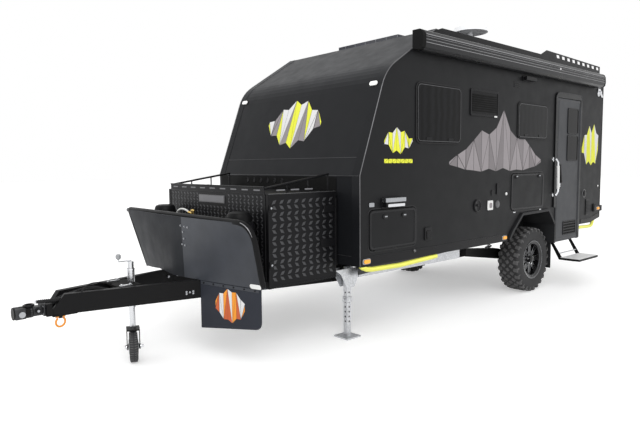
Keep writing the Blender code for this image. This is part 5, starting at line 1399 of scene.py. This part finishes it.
def shoulder_rib(work, middle, angle, way, swing):
    """A rib that runs from the shoulder down the sidewall, open towards the tyre."""
    rings = []
    for reach, inset in ((0.388, 0.012), (0.372, 0.0022), (0.346, 0.0012)):
        corners = ((-swing, inset), (swing, inset), (swing, inset + 0.012), (-swing, inset + 0.012))
        rings.append([work.verts.new(middle + on_wheel(reach, angle + turn, way * (TYRE_WIDTH / 2 - depth)))
                      for turn, depth in corners])
    for first, second in zip(rings, rings[1:]):
        for a, b in ((0, 1), (1, 2), (3, 0)):
            work.faces.new((first[a], first[b], second[b], second[a]))
    work.faces.new(rings[0][::-1])
    work.faces.new(rings[-1])


def make_tyres():
    """Tyres with five rows of blocks out to the solid's lug tips, and shoulder ribs."""
    half = TYRE_WIDTH / 2
    section = [(radius, -half * share) for radius, share in SIDEWALL] + [(TREAD_FLOOR + 0.002, 0.0)]
    section += [(radius, half * share) for radius, share in SIDEWALL[::-1]]
    for side, name in SIDES:
        body = f"wheel_{name}"
        middle = Vector((0.0, side * (1.045 - half), AXLE_Z))
        tyre = turnings(f"tyre_carcass_{name}", TYRE, section + [section[0]], [middle], Y_AXIS, 96,
                        body=body,
                        smooth=30)
        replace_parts(tyre, f"tyre_{name}")
        tread = []
        for along, half_width, half_length, turn, phase in TREAD_ROWS:
            tread += [(tread_block, middle, (k + phase) / LUGS_ROUND * 2 * math.pi, along, half_width,
                       half_length,
                       math.radians(turn * side)) for k in range(LUGS_ROUND)]
        for k in range(LUGS_ROUND):
            tread += [(shoulder_rib, middle, 2 * math.pi * (k + 0.15) / LUGS_ROUND, way,
                       (0.020 if k % 2 else 0.014) / 0.76) for way in (1, -1)]
        # The blocks and shoulder ribs are in the lighter tread rubber: painted light on the tread
        piece(f"tyre_tread_{name}", LIT_TREAD, *tread, body=body, smooth=30)


def make_springs():
    """Coil springs round their dampers, in place of the plain struts."""
    low, high = 0.4625, 0.6545
    turns, steps, radius = 4.5, 72, 0.037
    for side, name in SIDES:
        x, y = 0.320, side * 0.606
        path = []
        for k in range(steps + 1):
            angle = 2 * math.pi * turns * k / steps
            path.append((x + radius * math.cos(angle), y + radius * math.sin(angle),
                         low + 0.009 + (high - low - 0.018) * k / steps))
        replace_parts(piece(f"coil_{name}", BLACK, (tube, path, 0.0075, 8)), f"coil_spring_{name}")
        body_tube, shaft = ((x, y, low), (x, y, 0.560), 0.023, 20), ((x, y, 0.555), (x, y, high), 0.010, 14)
        rods(f"damper_{name}", ZINC, body_tube, shaft)


def make_step_details():
    """Tread plate with its pattern and cross tube, on the step."""
    body = "entry_step"
    # The tread plate and studs are near white: pale aluminium with painted glare
    boxes("step_plate", STEP_GLARE, ((-1.100, 1.132, 0.3712), (-0.540, 1.378, 0.3745)), body=body,
          bevel=0.001)
    studs = [(-1.070 + 0.0455 * i, 1.160 + 0.046 * j, 0.3745) for i in range(12) for j in range(5)]
    stud = [(0.0, 0.002), (0.007, 0.002), (0.010, 0.0), (0.0, 0.0)]
    turnings("step_studs", STEP_GLARE, stud, studs, Z_AXIS, 10, body=body)
    rods("step_cross_tube", ZINC, ((-1.080, 1.098, 0.420), (-0.560, 1.098, 0.420), 0.008, 12), body=body)


def make_leg_details():
    """Pins, adjusting holes as discs of painted shade, and galvanised cheeks of the front stabiliser legs."""
    cheek = [(3.190, 0.650), (2.880, 0.650), (2.880, 0.600), (2.950, 0.470), (3.050, 0.470), (3.120, 0.600)]
    for side, name in SIDES:
        body = f"leg_front_{name}"
        y = side * 0.780
        face = side * 0.8052
        levels = [0.150 + 0.045 * k for k in range(7)]
        # The adjusting holes are near-black discs: painted shade inside the holes
        rods(f"leg_hole_shades_{name}", DARK, *[((3.0252, y, z), (3.0262, y, z), 0.008, 14) for z in levels],
             *[((3.000, face, z), (3.000, face + side * 0.001, z), 0.008, 14) for z in levels], body=body)
        corners = ((2.968, side * 0.748, 0.330), (3.032, side * 0.812, 0.380))
        boxes(f"leg_collar_{name}", ZINC, corners, body=body, bevel=0.003)
        rods(f"leg_pin_{name}", STEEL, ((3.032, y, 0.355), (3.050, y, 0.355), 0.010, 6), body=body)
        cheeks = [(prism, cheek, on_side(side, face=low), 0.005) for low in (0.822, 0.732)]
        piece(f"leg_cheeks_{name}", ZINC, *cheeks, bevel=0.001)


def make_lamp_details():
    """Bases of the porch lamp and the work lamp, the work lamp's lens and hood, and the grab handle's feet
    and sleeve.
    """
    fitting("porch_lamp_base", SATIN, (0.464, 0.196, 2.535, 2.597), 0.012, 0.010)
    fitting("work_lamp_base", SATIN, (2.890, 2.600, 1.200, 1.294), 0.012, 0.010)
    fitting("work_lamp_lens", STEEL, (2.850, 2.620, 1.214, 1.240), 0.008, 0.0025, 0.0502)
    fitting("work_lamp_hood", MACHINED, (2.880, 2.605, 1.256, 1.294), 0.006, 0.0535, 0.0002)
    foot = [(0.0, 0.008), (0.022, 0.008), (0.029, 0.004), (0.030, 0.0), (0.0, 0.0)]
    feet = [(-0.360, SIDE + 0.0003, 1.640), (-0.375, SIDE + 0.0003, 1.190)]
    turnings("grab_handle_feet", CHROME, foot, feet, Y_AXIS, 20)
    sleeve = [(-0.3620, SIDE + 0.060, 1.560), (-0.3680, SIDE + 0.061, 1.420),
              (-0.3740, SIDE + 0.060, 1.270)]
    piece("grab_handle_sleeve", WHITE, (tube, smooth_path(sleeve), 0.0185, 16), bevel=0.003)


# Stage


def make_camera():
    """The camera at the photo's viewpoint."""
    forward = Vector((math.cos(CAMERA_YAW) * math.cos(CAMERA_PITCH),
                      math.sin(CAMERA_YAW) * math.cos(CAMERA_PITCH),
                      math.sin(CAMERA_PITCH)))
    right = forward.cross(Vector(Z_AXIS)).normalized()
    up = right.cross(forward).normalized()
    rolled_right = right * math.cos(CAMERA_ROLL) + up * math.sin(CAMERA_ROLL)
    rolled_up = up * math.cos(CAMERA_ROLL) - right * math.sin(CAMERA_ROLL)
    lens = bpy.data.cameras.new("camera")
    lens.lens = CAMERA_LENS
    lens.sensor_width = 36.0
    lens.clip_end = 200.0
    camera = new_object("camera", lens)
    axes = Matrix((rolled_right, rolled_up, -forward)).transposed()
    camera.matrix_world = Matrix.Translation(CAMERA_PLACE) @ axes.to_4x4()
    bpy.context.scene.camera = camera


def floor_surface():
    """The pale floor, which shows white to the camera and in reflections and still keeps its shadow."""
    painted("floor", grey(0.80), 0.9, grain=40.0, bump=0.0, spread=0.01, specular=0.1)
    look = Look("floor")
    path = look.node("ShaderNodeLightPath").outputs
    seen = look.math("MAXIMUM", path["Is Glossy Ray"], path["Is Transmission Ray"])
    seen = look.math("MAXIMUM", path["Is Camera Ray"], seen)
    return look.finish(Emission_Color=(1.0, 1.0, 1.0, 1.0), Emission_Strength=look.times(seen, FLOOR_LIFT))


def make_stage():
    """A plain pale floor, an even white surround and soft lamps."""
    work = bmesh.new()
    bmesh.ops.create_grid(work, x_segments=1, y_segments=1, size=60.0)
    mesh = bpy.data.meshes.new("floor")
    work.to_mesh(mesh)
    work.free()
    floor = new_object("floor", mesh)
    floor.location = (0.0, 0.0, -0.001)
    mesh.materials.append(floor_surface())
    world = bpy.data.worlds.new("surround")
    bpy.context.scene.world = world
    world.use_nodes = True
    world.node_tree.nodes["Background"].inputs["Color"].default_value = (1.0, 1.0, 1.0, 1.0)
    world.node_tree.nodes["Background"].inputs["Strength"].default_value = 1.0
    for name, place, target, size, energy in (
        ("key", (6.0, 7.0, 7.0), (-0.5, 0.0, 1.0), 5.0, 330.0),
        ("fill", (9.0, -5.0, 6.0), (0.5, 0.0, 1.2), 6.0, 70.0),
    ):
        lamp = bpy.data.lights.new(name, "AREA")
        lamp.shape = "SQUARE"
        lamp.size = size
        lamp.energy = energy
        obj = new_object(name, lamp)
        obj.location = place
        obj.rotation_euler = (Vector(target) - Vector(place)).to_track_quat("-Z", "Y").to_euler()
    bpy.context.scene.view_settings.view_transform = "Standard"


make_camera()
dress_solids()
make_nose_trims()
make_front_recess()
make_side_seams()
make_window_frames()
make_vent()
make_hatch_details()
make_inlets()
make_tail_fittings()
make_markers()
make_rear()
make_door_details()
make_prints()
make_awning_details()
make_roof_plates()
make_toolbox_details()
make_drawbar_details()
make_hitch()
make_jockey_details()
make_guard_details()
make_flap_details()
make_bottle_details()
make_wheel_details()
make_tyres()
make_springs()
make_step_details()
make_leg_details()
make_lamp_details()
make_stage()
